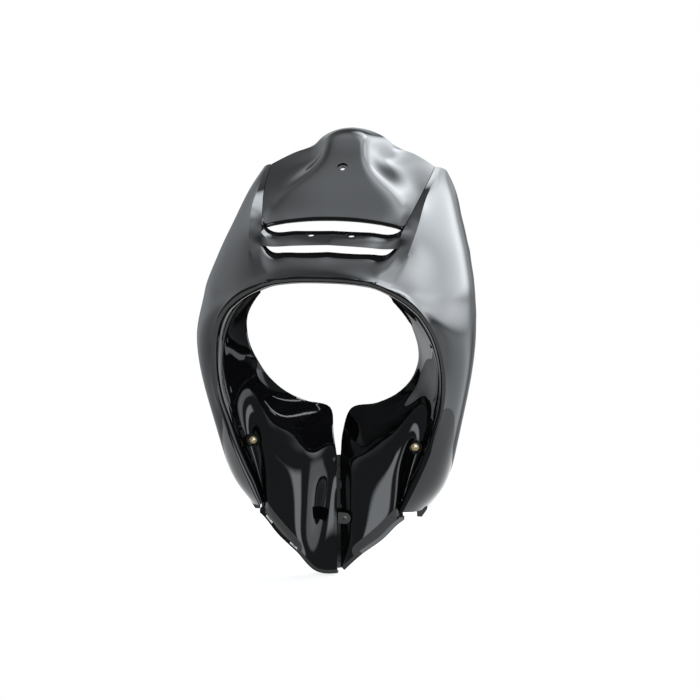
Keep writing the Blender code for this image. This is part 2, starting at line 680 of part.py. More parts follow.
def cover_fixing(number, side, cover):
    point, inward = rim_place(cover_screw_heights[number])
    reach = boss_reach[number] * unit[1]
    # a panel of another width has walls of another slope, so its bosses start further inside the wall
    start = boss_start * unit[1] * min(unit[0], 1 / unit[0])
    flip = np.array((side, 1.0, 1.0))
    crest = placed(point * flip)
    inward = inward * flip
    up = np.cross(inward, back)
    boss = turned("boss", rod(boss_diameter / 2, reach - start), crest + back * start * mm, back,
                  None, cutters)
    add_body(outer_shell, boss)
    bore = turned("pilot bore", rod(clear_hole / 2, screw_length), crest + back * (reach - 10.0) * mm,
                  back, None, cutters, 16)
    cut_away(outer_shell, bore)
    face = reach + seam_gap
    line = crest + back * (face + lug_thickness / 2) * mm
    tree = BVHTree.FromPolygons([v.co for v in cover.data.vertices],
                                [p.vertices for p in cover.data.polygons])
    found = tree.ray_cast(Vector(line), Vector(inward))
    inner = found[3] / mm - lug_bite
    outer = -boss_diameter / 2
    lug = plate("lug", line + inward * (inner + outer) / 2 * mm, (inner - outer, lug_thickness, lug_width),
                (inward, back, up))
    add_body(cover, lug)
    hole = turned("lug hole", rod(clear_hole / 2, 3 * lug_thickness),
                  line - back * 1.5 * lug_thickness * mm,
                  back, None, cutters, 16)
    cut_away(cover, hole)
    tag = "right" if side > 0 else "left"
    screw("cover_screw_%s_%d" % (tag, number + 1), line + back * (lug_thickness / 2 + seam_gap) * mm, back,
          screw_length)


for number in range(len(cover_screw_heights)):
    cover_fixing(number, 1, cover_right)
    cover_fixing(number, -1, cover_left)

# Fixings between the cowl and the wings: screws along X through the two flanges beside the gap.
cowl_screw_shares = (0.24, 0.76)
flange_way = np.array((0.0, 0.6, -0.8))
wing_boss_length = 7.0
cowl_screw_length = 8.0


def cowl_fixing(number, side):
    rise = strip_left[:bar_start - 1][::-1]
    i = round(cowl_screw_shares[number] * (len(rise) - 1))
    flip = np.array((side, 1.0, 1.0))
    at = placed((rise[i] + flange_way * side_return * 0.6) * flip)
    out = np.cross(flange_way, rise[i + 1] - rise[i - 1])
    out *= flip * np.sign(out[0]) / np.linalg.norm(out)
    boss = turned("wing boss", rod(boss_diameter / 2 - 0.5, wing_boss_length), at + out * 1.1 * mm, out,
                  None,
                  cutters)
    add_body(outer_shell, boss)
    bore = turned("wing bore", rod(clear_hole / 2, cowl_screw_length + 1.5), at - out * 3.5 * mm, out, None,
                  cutters, 16)
    cut_away(outer_shell, bore)
    hole = turned("cowl flange hole", rod(clear_hole / 2, 8.0), at - out * 7.0 * mm, out, None, cutters, 16)
    cut_away(top_cowl, hole)
    tag = "right" if side > 0 else "left"
    screw("cowl_screw_%s_%d" % (tag, number + 1), at - out * (2 * fit_gap + wall + seam_gap) * mm, -out,
          cowl_screw_length)


for number in range(len(cowl_screw_shares)):
    cowl_fixing(number, 1)
    cowl_fixing(number, -1)

# Captive nuts in the side channels, each in a round seat.
side_fixing = (97.0, 75.6, -91.0)


def side_fixing_seat(side, cover):
    middle = placed((side * side_fixing[0], side_fixing[1], side_fixing[2]))
    cup = turned("seat cup", rod(seat_diameter / 2 + wall, seat_depth + wall), middle, back, None, cutters,
                 28)
    through_hole = insert_body / 2 + seam_gap
    step = [(0, seat_depth - 20.0), (seat_diameter / 2, seat_depth - 20.0), (seat_diameter / 2, seat_depth),
            (through_hole, seat_depth), (through_hole, 16.0), (0, 16.0)]
    well = turned("seat well", step, middle, back, None, cutters, 28)
    add_body(cover, cup)
    cut_away(cover, well)
    bore, body, flange = insert_bore / 2, insert_body / 2, insert_flange / 2
    profile = [(bore, -insert_flange_thickness), (flange, -insert_flange_thickness), (flange, 0), (body, 0),
               (body, insert_length), (bore, insert_length)]
    tag = "right" if side > 0 else "left"
    turned("captive_nut_%s" % tag, profile, middle + back * (seat_depth - seam_gap) * mm, back, zinc,
           panel, 24)


side_fixing_seat(1, cover_right)
side_fixing_seat(-1, cover_left)

# Screw tab of the right half: a round-ended tab that stands forward beside the seam, with an empty hole.
seam_curve = [tuple(p) for p in through(seam_line, 3)]
pad_at = at_height(seam_curve, pad_height) + np.array((pad_beside, -pad_rise, 0.0))
pad_outline = [(pad_at[0] + pad_diameter / 2 * math.cos(math.radians(turn)),
                pad_at[2] + pad_diameter / 2 * math.sin(math.radians(turn))) for turn in range(-90, 91, 15)]
pad_root = pad_at[0] - pad_beside + strip_width + pad_clear
pad_outline += [(pad_root, pad_at[2] + pad_diameter / 2), (pad_root, pad_at[2] - pad_diameter / 2)]
add_body(cover_right, prism("screw tab", pad_outline, pad_at[1], pad_rise + 0.9))
pad_bore = turned("pad bore", rod(pad_hole / 2, 34.0), placed(pad_at) - back * 8.0 * mm, back, None,
                  cutters, 20)
cut_away(cover_right, pad_bore)

# Grooves that divide the seam strip into tongues.
for height in tongue_heights:
    at = at_height(seam_curve, height)
    groove = plate("tongue groove", placed(at + np.array((strip_width * 0.3, strip_step - 0.5, 0.0))),
                   (strip_width * 1.7, 2 * tongue_groove, tongue_groove), ((1, 0, 0), (0, 1, 0), (0, 0, 1)))
    cut_away(cover_right, groove)


# Slots through the lip along the covers' lower edge.
def lip_slots(cover, side):
    edge = cover_grid(side)[-1]
    run = np.cumsum([0.0] + [float(np.linalg.norm(b - a)) for a, b in zip(edge, edge[1:])])
    for share in lip_slot_shares:
        along = share * run[-1] if side > 0 else share * (run[-1] - seam_overhang)
        middle, before, after = [np.array([np.interp(along + off, run, edge[:, k]) for k in range(3)])
                                 for off in (0.0, -3.0, 3.0)]
        way = (after - before) * np.array((1.0, 0.0, 1.0))
        way /= np.linalg.norm(way)
        out = np.array((-way[2], 0.0, way[0])) * side
        at = placed(middle + out * lip_width * 0.42 + np.array((0.0, lip_step, 0.0)))
        cut_away(cover, plate("lip slot", at, (lip_slot_length, 9.0, lip_slot_width), (way, back, out)))


lip_slots(cover_right, 1)
lip_slots(cover_left, -1)

# Hooks that hang from the wings' lower ends.
for side in (-1, 1):
    outline = [(side * x, z) for x, z in hook_outline]
    add_body(outer_shell, prism("hook", outline, hook_front, hook_thickness))

# Holes in the bar and in the cowl, each in a shallow round seat.
ledge_tilt = math.atan2(ledge_rise, ledge_depth)
ledge_normal = np.array((0.0, -math.sin(ledge_tilt), math.cos(ledge_tilt)))
for side in (-1, 1):
    at = placed((side * bar_hole_spacing / 2, bar_rows[0][0][1] + bar_hole_back,
                 bar_rows[0][0][2] + bar_hole_back * ledge_rise / ledge_depth - 0.3))
    step = [(0, -9.0), (bar_hole / 2, -9.0), (bar_hole / 2, -bar_seat_depth),
            (bar_seat / 2, -bar_seat_depth),
            (bar_seat / 2, 5.0), (0, 5.0)]
    cut_away(outer_shell, turned("bar hole", step, at, ledge_normal, None, cutters, 24))
cowl_normal = np.array((0.0, -0.695, 0.719))
cowl_seat_at = placed((0, 135.6, 227.6))
step = [(0, -15.0), (cowl_hole / 2, -15.0), (cowl_hole / 2, -cowl_seat_depth),
        (cowl_seat / 2, -cowl_seat_depth),
        (cowl_seat / 2, 9.0), (0, 9.0)]
seat = turned("cowl seat", step, cowl_seat_at, cowl_normal, None, cutters, 28)
boss = turned("cowl boss", rod(cowl_seat / 2 + 1.6, 3.4), cowl_seat_at - cowl_normal * 4.4 * mm,
              cowl_normal, None,
              cutters, 28)
add_body(top_cowl, boss)
cut_away(top_cowl, seat)

for moulding in (outer_shell, top_cowl, cover_right, cover_left):
    apply_tools(moulding)
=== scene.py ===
# Front fairing panel of a small motorcycle: gloss black mouldings round a wide rounded opening,
# a domed top cowl, and two lower covers that meet on a tongued seam.
import json
import math
import time

import bmesh
import bpy
import numpy as np
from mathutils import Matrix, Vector
from mathutils.bvhtree import BVHTree

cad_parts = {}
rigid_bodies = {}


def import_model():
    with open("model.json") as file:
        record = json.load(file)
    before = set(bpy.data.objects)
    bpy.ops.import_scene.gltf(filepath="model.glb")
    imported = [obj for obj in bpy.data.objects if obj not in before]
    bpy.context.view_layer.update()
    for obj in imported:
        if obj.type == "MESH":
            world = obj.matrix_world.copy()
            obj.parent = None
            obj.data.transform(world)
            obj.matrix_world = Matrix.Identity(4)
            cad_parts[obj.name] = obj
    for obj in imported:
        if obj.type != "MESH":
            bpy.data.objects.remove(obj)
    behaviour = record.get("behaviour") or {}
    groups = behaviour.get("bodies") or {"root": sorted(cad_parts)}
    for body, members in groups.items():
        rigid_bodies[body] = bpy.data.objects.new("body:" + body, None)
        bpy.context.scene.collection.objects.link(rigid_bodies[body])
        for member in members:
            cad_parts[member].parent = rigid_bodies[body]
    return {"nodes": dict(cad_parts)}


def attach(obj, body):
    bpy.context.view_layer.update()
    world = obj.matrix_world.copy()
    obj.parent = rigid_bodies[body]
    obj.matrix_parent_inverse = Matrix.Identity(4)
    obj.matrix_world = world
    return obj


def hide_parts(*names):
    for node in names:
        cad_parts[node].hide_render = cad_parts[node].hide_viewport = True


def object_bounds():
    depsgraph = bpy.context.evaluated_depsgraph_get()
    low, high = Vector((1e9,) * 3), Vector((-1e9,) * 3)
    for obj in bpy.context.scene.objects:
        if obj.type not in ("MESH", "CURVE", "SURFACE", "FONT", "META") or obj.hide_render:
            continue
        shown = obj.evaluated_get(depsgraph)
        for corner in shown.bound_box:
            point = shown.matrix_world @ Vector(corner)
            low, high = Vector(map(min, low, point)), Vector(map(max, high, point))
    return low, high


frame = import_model()
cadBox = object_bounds()
started = time.time()

mm = 0.001
fine = 3  # how many times finer than the solids the mouldings are drawn

# the three overall sizes, in millimetres
panelSizes = {"halfWidth": 164.3, "fullDepth": 217.5, "fullHeight": 511.6}
halfWidth, fullDepth, fullHeight = panelSizes.values()

mould = {
    "wall": 2.2,      # plastic wall of every moulding
    "fitGap": 0.4,    # clearance between two mouldings that meet
    "seamGap": 0.35,  # clearance at laps and under screw heads
}

# The control points below are drawn on this size and follow the three overall sizes above.
drawn = (164.3, 217.5, 511.6)
drawnMiddle = (0.0, 110.19, 15.18)
unit = (halfWidth / drawn[0], fullDepth / drawn[1], fullHeight / drawn[2])
# how surfaces are evened out: rounds, share moved in a round, pull back to the drawn place
fairing = {"rounds": 2500, "step": 0.45, "pull": 0.0004}
sharpAngle = math.radians(35)  # edges steeper than this stay sharp in the shading
back = np.array((0.0, 1.0, 0.0))
hand = {1: "right", -1: "left"}


def stageDone(words):
    print("%s, %.1f s" % (words, time.time() - started))


def placed(point):
    # from the drawing's millimetres to metres about the panel's middle
    return np.array([(point[k] - drawnMiddle[k]) * unit[k] * mm for k in range(3)])


def through(points, spans, sharp=None):
    # smooth curve through every point, each span cut into the given number of steps;
    # sharp gives each point a share from 0 (smooth) to 1 (a corner)
    p = np.array(points, float)
    count = len(p) - 1
    steps = [spans] * count if isinstance(spans, int) else list(spans)
    h = np.maximum(np.linalg.norm(np.diff(p, axis=0), axis=1), 1e-6)
    slope = np.diff(p, axis=0) / h[:, None]
    tangent = np.zeros_like(p)
    for i in range(1, count):
        tangent[i] = (slope[i] * h[i - 1] + slope[i - 1] * h[i]) / (h[i] + h[i - 1])
    tangent[0] = slope[0] if count == 1 else 1.5 * slope[0] - 0.5 * tangent[1]
    tangent[-1] = slope[-1] if count == 1 else 1.5 * slope[-1] - 0.5 * tangent[-2]
    share = np.zeros(count + 1) if sharp is None else np.array(sharp, float)
    out = [p[0]]
    for i in range(count):
        leave = tangent[i] + (slope[i] - tangent[i]) * share[i]
        arrive = tangent[i + 1] + (slope[i] - tangent[i + 1]) * share[i + 1]
        for s in range(1, steps[i] + 1):
            t = s / steps[i]
            a, b = 2 * t**3 - 3 * t**2 + 1, t**3 - 2 * t**2 + t
            c, d = -2 * t**3 + 3 * t**2, t**3 - t**2
            out.append(a * p[i] + b * h[i] * leave + c * p[i + 1] + d * h[i] * arrive)
    return np.array(out)


def net(rows, along, across, alongSharp=None, acrossSharp=None):
    # loft: curves down the columns first, then across each of their steps
    many, wide = len(rows), len(rows[0])
    down = np.zeros((many, wide)) if alongSharp is None else np.array(alongSharp, float)
    over = np.zeros((many, wide)) if acrossSharp is None else np.array(acrossSharp, float)
    columns = [through([row[c] for row in rows], along, down[:, c]) for c in range(wide)]
    steps = [along] * (many - 1) if isinstance(along, int) else along
    place = [i + s / n for i, n in enumerate(steps) for s in range(n)] + [many - 1]
    out = []
    for i, at in enumerate(place):
        share = [np.interp(at, range(many), over[:, c]) for c in range(wide)]
        out.append(through([column[i] for column in columns], across, share))
    return out


def bend(grid, mirrored):
    # how far each point stands from the middle of its four neighbours; none along the border
    out = np.zeros_like(grid)
    around = grid[:-2, 1:-1] + grid[2:, 1:-1] + grid[1:-1, :-2] + grid[1:-1, 2:]
    out[1:-1, 1:-1] = around / 4 - grid[1:-1, 1:-1]
    if mirrored:
        # over the middle the fourth neighbour is the second one's mirror image
        beside = grid[1:-1, 1]
        around = grid[:-2, 0] + grid[2:, 0] + beside + beside * (-1, 1, 1)
        out[1:-1, 0] = around / 4 - grid[1:-1, 0]
    return out


def faired(grid, held=None, mirrored=False):
    # evens out the bending between the control lines, so that reflections run smoothly;
    # the border and the held lines stay, and a slight pull keeps the rest near its place
    start = np.array(grid, float)
    g = start.copy()
    free = np.ones(g.shape[:2]) if held is None else 1.0 - np.array(held)
    free[0] = free[-1] = free[:, -1] = 0.0
    if not mirrored:
        free[:, 0] = 0.0
    free = free[:, :, None]
    for step in range(fairing["rounds"]):
        g += free * (fairing["pull"] * (start - g) - fairing["step"] * bend(bend(g, mirrored), mirrored))
    return list(g)


def heldLines(along, across, down, over):
    # how firmly each point is held: the control lines carry their shares of sharpness
    rows = [sum(along[:i]) for i in range(len(along) + 1)]
    columns = [sum(across[:c]) for c in range(len(across) + 1)]
    held = np.zeros((rows[-1] + 1, columns[-1] + 1))
    for i, at in enumerate(rows):
        held[at] = np.interp(range(held.shape[1]), columns, down[i])
    for c, at in enumerate(columns):
        held[:, at] = np.maximum(held[:, at], np.interp(range(held.shape[0]), rows, over[:, c]))
    return held


def addGrid(bm, grid):
    rows = [[bm.verts.new(point) for point in row] for row in grid]
    for a, b in zip(rows, rows[1:]):
        for i in range(len(a) - 1):
            bm.faces.new((a[i], a[i + 1], b[i + 1], b[i]))


def newObject(name, mesh):
    made = bpy.data.objects.new(name, mesh)
    bpy.context.scene.collection.objects.link(made)
    return made


def meshFrom(bm, name):
    mesh = bpy.data.meshes.new(name)
    bm.to_mesh(mesh)
    bm.free()
    return mesh


def solidFrom(bm, name):
    bmesh.ops.recalc_face_normals(bm, faces=bm.faces)
    return newObject(name, meshFrom(bm, name))


def openMesh(name, grids, outward):
    # one welded open surface; outward is a direction that its first face looks towards
    bm = bmesh.new()
    for grid in grids:
        addGrid(bm, [[placed(point) for point in row] for row in grid])
    bmesh.ops.remove_doubles(bm, verts=bm.verts, dist=0.00002)
    bmesh.ops.dissolve_degenerate(bm, edges=bm.edges, dist=0.00002)
    bmesh.ops.recalc_face_normals(bm, faces=bm.faces)
    bm.faces.ensure_lookup_table()
    if bm.faces[0].normal.dot(outward) < 0:
        bmesh.ops.reverse_faces(bm, faces=bm.faces)
    return newObject(name, meshFrom(bm, name))


def shell(thing, mirrored=False):
    if mirrored:
        mirror = thing.modifiers.new("other half", "MIRROR")
        mirror.use_clip = True
        mirror.merge_threshold = 0.0001
    solid = thing.modifiers.new("wall", "SOLIDIFY")
    solid.thickness = mould["wall"] * mm
    solid.offset = -1.0
    solid.solidify_mode = "NON_MANIFOLD"
    solid.nonmanifold_thickness_mode = "FIXED"


tools = {}


def addBody(thing, tool):
    tools.setdefault((thing.name, "UNION"), []).append(tool)


def cutAway(thing, tool):
    tools.setdefault((thing.name, "DIFFERENCE"), []).append(tool)


def applyTools(thing):
    # all added bodies in one union, then all cuts in one difference
    for operation in ("UNION", "DIFFERENCE"):
        parts = tools.get((thing.name, operation), [])
        if not parts:
            continue
        bm = bmesh.new()
        for tool in parts:
            bm.from_mesh(tool.data)
            bpy.data.objects.remove(tool, do_unlink=True)
        name = "%s %s" % (thing.name, operation.lower())
        step = thing.modifiers.new(operation.lower(), "BOOLEAN")
        step.operation = operation
        step.object = newObject(name, meshFrom(bm, name))
        step.solver = "EXACT"


def turned(name, profile, at, axis, steps=32):
    # solid of revolution: profile is (radius, distance along axis) in millimetres, from pole to pole
    axis = np.array(axis, float) / np.linalg.norm(axis)
    side = np.cross(axis, (0.0, 0.0, 1.0))
    if np.linalg.norm(side) < 0.1:
        side = np.array((1.0, 0.0, 0.0))
    side /= np.linalg.norm(side)
    other = np.cross(axis, side)
    bm = bmesh.new()
    rings = []
    for radius, along in profile:
        middle = np.array(at) + axis * along * mm
        if radius == 0:
            rings.append([bm.verts.new(middle)])
            continue
        ring = []
        for k in range(steps):
            turn = 2 * math.pi * k / steps
            out = side * math.cos(turn) + other * math.sin(turn)
            ring.append(bm.verts.new(middle + out * radius * mm))
        rings.append(ring)
    for a, b in zip(rings, rings[1:]):
        for k in range(steps):
            n = (k + 1) % steps
            if len(a) == 1:
                bm.faces.new((a[0], b[n], b[k]))
            elif len(b) == 1:
                bm.faces.new((a[k], a[n], b[0]))
            else:
                bm.faces.new((a[k], a[n], b[n], b[k]))
    return solidFrom(bm, name)


def rod(radius, length):
    return [(0, 0), (radius, 0), (radius, length), (0, length)]


def steppedRod(start, first, change, second, end):
    # a rod whose radius changes part of the way along
    return [(0, start), (first, start), (first, change), (second, change), (second, end), (0, end)]


def plate(name, middle, size, axes):
    # box about a middle in metres, sized in millimetres along its own three axes
    bm = bmesh.new()
    bmesh.ops.create_cube(bm, size=1.0)
    for vert in bm.verts:
        vert.co = sum((np.array(axes[k]) * vert.co[k] * size[k] * mm for k in range(3)),
                      np.array(middle))
    return solidFrom(bm, name)


def prism(name, outline, front, depth):
    # flat outline of (x, z) points in drawing millimetres, run back from a given depth
    bm = bmesh.new()
    rings = [[bm.verts.new(placed((x, front + step, z))) for x, z in outline] for step in (0.0, depth)]
    for i in range(len(outline)):
        n = (i + 1) % len(outline)
        bm.faces.new((rings[0][i], rings[0][n], rings[1][n], rings[1][i]))
    bm.faces.new(rings[0])
    bm.faces.new(rings[1][::-1])
    return solidFrom(bm, name)


def atHeight(points, z):
    # the point at a given height on a line of points that runs downward
    for a, b in zip(points, points[1:]):
        if (a[2] - z) * (b[2] - z) <= 0 and a[2] != b[2]:
            t = (a[2] - z) / (a[2] - b[2])
            return np.array(a) + (np.array(b) - np.array(a)) * t
    return np.array(points[-1])


shellSizes = {
    "rimRoll": 9.4,        # how far the rim turns in towards the opening
    "rimReturn": 15.0,     # how far it turns back
    "footFade": 75.0,      # length over which the roll fades in above its foot
    "footShares": (0.65, 0.45),  # what is left of both at the foot
    "ledgeDepth": 19.0,    # top of the bar under the upper slot
    "ledgeRise": 6.4,
    "slotReturn": 9.0,     # walls behind the lower slot
    "slotRise": 5.4,       # how far the lower one rises
    "slotEndTurn": 5.0,    # how far both turn inward at the slot's ends
    "sideReturn": 13.0,    # flanges along the gap between cowl and wings
    "rearLip": 4.0,        # inward lip on the wing's rear edge
    "barHoleSpacing": 47.0,  # the two empty screw holes
    "barHole": 7.4,
    "barHoleBack": 10.5,   # from the ledge's front edge
    "barSeat": 13.5,
    "barSeatDepth": 1.1,
    "hookOutline": ((93.5, -168.5), (109.0, -167.0), (108.0, -173.5), (101.8, -183.2),
                    (96.0, -183.2), (95.4, -177.0)),
    "hookFront": 104.0,    # depth of its front face
    "hookThickness": 2.6,
}

# Outer moulding, right half. Each row runs from the gap beside the cowl, over the crease,
# to the rear edge.
gapLine = [
    (101, 203, 225), (99, 172, 213.5), (96.5, 148, 204.5), (93.5, 126, 194.5), (89.5, 104, 183),
    (85.5, 84, 171.5), (81, 61, 158), (79.5, 51.5, 144.6), (78.6, 47.8, 141.2), (73, 28, 125.5),
    (67, 12, 115), (62, 2, 112),
]
crease = [
    (106.5, 206.5, 223.6), (104.5, 175, 212.6), (103, 149, 204.2), (101.5, 122, 195.6),
    (100.5, 97, 184), (98.8, 79, 170), (96, 62, 156), (93.5, 53.5, 147), (90.5, 44.5, 136.5),
    (85.5, 31, 124), (79, 14, 112), (72, 2, 108),
]
rimSide = [
    (90, 1.5, 100.5), (104, 3, 90), (119, 9, 71), (129, 19, 48), (134.5, 30, 22), (136.5, 39, -6),
    (133.5, 46.5, -37), (126, 52.5, -65), (117, 56.5, -95), (106, 57.5, -122), (95, 57, -146),
    (86, 56, -164.5),
]
frontBulge = [
    (109, 209.5, 222.5), (110.5, 180, 211.6), (111, 160, 202.7), (112, 140, 191), (114, 122, 177),
    (116, 105, 162), (118, 88, 147), (119.5, 80, 138), (121, 71, 127), (123, 55, 112), (120, 36, 100),
    (114, 24, 96), (121, 25, 88), (130, 26, 76), (139, 30, 62), (147, 38, 44), (151.5, 48, 20),
    (151, 55, -6), (145.5, 61, -37), (137.5, 65.5, -67), (130, 69, -97), (120, 71, -125),
    (110, 72, -149), (98, 76.5, -169),
]
sideBulge = [
    (112, 213, 220.5), (117.5, 196.5, 208.8), (122, 183, 199), (128, 172, 186), (133.5, 160, 171),
    (139, 148, 155), (145, 136, 140), (148, 129, 131), (150.5, 122, 121), (156, 107, 102),
    (158.5, 97, 90), (159.5, 93, 82), (160, 90, 76), (161.5, 85, 64), (163, 80, 50), (163.5, 76.5, 38),
    (162.5, 74.5, 20), (159.5, 74.5, -4), (154, 78, -35), (147.5, 84, -65), (140.5, 90, -97),
    (134, 96, -125), (126, 103, -150), (107.5, 110, -172),
]
rearEdge = [
    (114, 217, 217.5), (119, 217, 208), (125, 210, 197), (129.5, 205, 184), (134, 195, 169),
    (140, 184, 152), (145, 173, 137), (148, 167, 129), (150.5, 160, 118), (155.5, 145, 100),
    (158, 135, 88), (159.2, 130.5, 80), (160, 127, 74), (161.5, 121, 62), (162, 116.5, 50),
    (162.3, 113.5, 38), (161.5, 111.5, 20), (158.8, 112, -4), (153.3, 118, -35), (147, 125.5, -65),
    (140.3, 133, -97), (133.8, 139.5, -126), (125, 146, -153), (112, 148, -174),
]

# Front band between the rim and the bar: columns at the middle, part way out and near the slot's end.
barRows = [((0, 54, 154.3), (42, 55.5, 153.2), (74, 58.5, 153.0)),
           ((0, 42.5, 148.1), (42, 45.5, 145.9), (66, 48.8, 144.0))]
bandRows = [((0, 36, 134.4), (42, 38, 132.6), (64, 42, 133.2)),
            ((0, 21, 125.6), (42, 23, 124.2), (61, 25.5, 124.4)),
            ((0, 9, 119.5), (42, 9.5, 118), (57, 10.5, 116.6)),
            ((0, 2.5, 117.5), (38, 2.5, 116), (52, 2.3, 114.2))]
bandAcross = [4 * fine, 2 * fine, 2 * fine]
barRow = 6                 # row of the gap line where the bar's top edge starts
slotRow = 7                # and where the lower slot starts and ends

wingSpans = [2 * fine] * 6 + [fine] * 2 + [2 * fine] * 15
stripSpans = wingSpans[:11]

cornerEase = 6             # rounds of easing of the roll's inner edge at the crease's foot
cornerReach = 5


def rimOffsets(chain):
    # for each point of the rim, the way towards the opening and the shares of the roll and of the return
    out = []
    for i, point in enumerate(chain):
        before, after = chain[max(i - 1, 0)], chain[min(i + 1, len(chain) - 1)]
        if i == 0:
            before = (-chain[1][0], chain[1][1], chain[1][2])
        tx, tz = after[0] - before[0], after[2] - before[2]
        size = math.hypot(tx, tz)
        rise = (point[2] - rimSide[-1][2]) / shellSizes["footFade"]
        turn, deep = [min(1.0, share + rise) for share in shellSizes["footShares"]]
        out.append((np.array((tz / size, 0.0, -tx / size)), turn, deep))
    return out


def rimRollGrid(chain, corner):
    profile = [(0.0, 0.0), (0.25, 0.03), (0.53, 0.16), (0.76, 0.37), (0.91, 0.66), (1.0, 1.0)]
    out = []
    for across, behind in through(profile, fine):
        row = [np.array(p) + way * across * shellSizes["rimRoll"] * turn
               + np.array((0, behind * shellSizes["rimReturn"] * deep, 0))
               for p, (way, turn, deep) in zip(chain, rimOffsets(chain))]
        for step in range(round(cornerEase * fine * fine * across)):
            # rounds the roll off where the crease meets the rim
            near = range(max(1, corner - cornerReach * fine), corner + cornerReach * fine)
            eased = {i: (row[i - 1] + 2 * row[i] + row[i + 1]) / 4 for i in near}
            for i, point in eased.items():
                row[i] = point
        out.append(row)
    return out


creaseFoot = len(crease) - 1
innerSharp = [1.0 if i == creaseFoot else 0.0 for i in range(len(wingSpans) + 1)]
wingInner = through(crease + rimSide, wingSpans, innerSharp)
stripLeft = through(gapLine, stripSpans)
stripRight = wingInner[:sum(stripSpans) + 1]
stripGrid = [through([a, b], 2 * fine) for a, b in zip(stripLeft, stripRight)]
wingColumns = [wingInner, through(frontBulge, wingSpans), through(sideBulge, wingSpans),
               through(rearEdge, wingSpans)]
wingAcross = [3 * fine, 3 * fine, 2 * fine]
wingGrid = faired([through(row, wingAcross) for row in zip(*wingColumns)])

barStart = sum(stripSpans[:barRow])
slotStart = sum(stripSpans[:slotRow])
barEnds = [stripLeft[barStart], stripLeft[slotStart]]
barGrid = [through([*row, end], bandAcross) for row, end in zip(barRows, barEnds)]
bandEnds = [stripLeft[i] for i in range(slotStart + 1, len(stripLeft))]
bandColumns = [through([row[k] for row in bandRows], stripSpans[slotRow + 1:]) for k in range(3)]
bandGrid = faired([through(row, bandAcross) for row in zip(*bandColumns, bandEnds)], mirrored=True)

rimChain = [tuple(p) for p in bandGrid[-1]] + [tuple(p) for p in stripGrid[-1][1:]]
rimChain += [tuple(p) for p in wingInner[len(stripRight):]]
rimGrid = rimRollGrid(rimChain, len(bandGrid[-1]) + len(stripGrid[-1]) - 2)

# Flanges: each is an edge repeated at offsets behind it.
upperEdge = [tuple(p) for p in barGrid[0]] + [tuple(p) for p in stripLeft[:barStart][::-1]]
flangeWay = np.array((0.0, 0.6, -0.8))
# in steps of the drawn points: the ledge, its turn into the flange, and the flange's shallow end
flangeSteps = {"ledge": 8, "turn": 2.0, "end": 6.0}


def upperFlange(step):
    # the bar's ledge, which turns into the flange beside the gap
    out = []
    ledge = np.array((0, shellSizes["ledgeDepth"], shellSizes["ledgeRise"]))
    for i, point in enumerate(upperEdge):
        side = min(1.0, max(0.0, (i / fine - flangeSteps["ledge"]) / flangeSteps["turn"]))
        fromEnd = (len(upperEdge) - 1 - i) / (flangeSteps["end"] * fine)
        deep = shellSizes["sideReturn"] * min(1.0, 0.5 + fromEnd)
        out.append(np.array(point) + (ledge * (1 - side) + flangeWay * deep * side) * step)
    return out


slotLoop = [tuple(p) for p in barGrid[1]] + [tuple(p) for p in bandGrid[0][::-1]]


def slotFlange(step):
    # walls behind the lower slot; the upper one is shallower and nearly level, and both fade at the ends
    out = []
    half = len(barGrid[1])
    for i, point in enumerate(slotLoop):
        fromEnd = (abs(i - half + 0.5) - 0.5) / fine
        share, rise = 0.8, 0.5
        if i >= half:
            share, rise = 1.2, shellSizes["slotRise"] * min(1.0, 0.1 + 0.3 * fromEnd)
        deep = shellSizes["slotReturn"] * share * min(1.0, 0.4 + 0.3 * fromEnd)
        inward = shellSizes["slotEndTurn"] * max(0.0, 1.0 - fromEnd / 2.0)
        out.append(np.array(point) + np.array((-inward, deep, rise)) * step)
    return out


wingRear = [row[-1] for row in wingGrid]
lipWay = np.array((-shellSizes["rearLip"], 0.4 * shellSizes["rearLip"], 0))
rearLip = [p + lipWay * min(1.0, 0.3 + i / (8.0 * fine)) for i, p in enumerate(wingRear)]

outerGrids = [barGrid, bandGrid, stripGrid, wingGrid, rimGrid,
              [upperEdge, upperFlange(0.5), upperFlange(1.0)],
              [slotLoop, slotFlange(1.0)], [wingRear, rearLip]]
outerShell = openMesh("outer_shell", outerGrids, (0, -1, 0))
shell(outerShell, mirrored=True)
stageDone("outer moulding's surface")

cowlSizes = {
    "beadRadius": 3.1,     # rolled front edge over the upper slot
    "beadTurn": 125.0,
    "beadStraight": 8.0,   # how far it runs on behind the roll
    "beadClear": 1.5,      # how far its end draws in from the gap
    "hole": 6.0,           # empty screw hole in its dished seat
    "seat": 13.0,
    "seatDepth": 1.0,
    "seatAt": (0, 135.6, 227.6),
    "seatFacing": (0.0, -0.695, 0.719),
}

# Top cowl, right half: rows from the slot up to the rear edge, columns from the middle to the side.
cowlRows = [
    [(0, 82.5, 176.4), (28, 82.5, 175.4), (55, 81.5, 172.4), (72, 80.5, 169.2), (79.5, 79.2, 167.6)],
    [(0, 92, 185), (28, 92.8, 185), (69, 98.5, 184.4), (76, 100, 182.8), (82, 98.5, 181)],
    [(0, 107, 200), (28, 108, 200.5), (59, 113.5, 201), (68, 119.5, 199.5), (80, 121.5, 195.4)],
    [(0, 121, 213.5), (24, 122, 214), (48, 127.5, 213.5), (61, 137.5, 211), (79, 142.5, 205)],
    [(0, 141, 233), (16, 141.5, 232.8), (31, 145.5, 232), (42, 163, 226.5), (72, 168.5, 217)],
    [(0, 157, 253.5), (16, 157.5, 252.3), (28, 160.5, 247.5), (37, 179, 235), (70, 187.5, 225)],
    [(0, 178, 270.2), (15, 177.5, 268), (28, 175, 259), (37, 190, 243.5), (70, 202, 232)],
    [(0, 203, 270.5), (19, 205.5, 267.5), (38, 211.5, 258.5), (50, 217, 248), (75, 215, 238)],
]
cowlSpans = 2 * fine
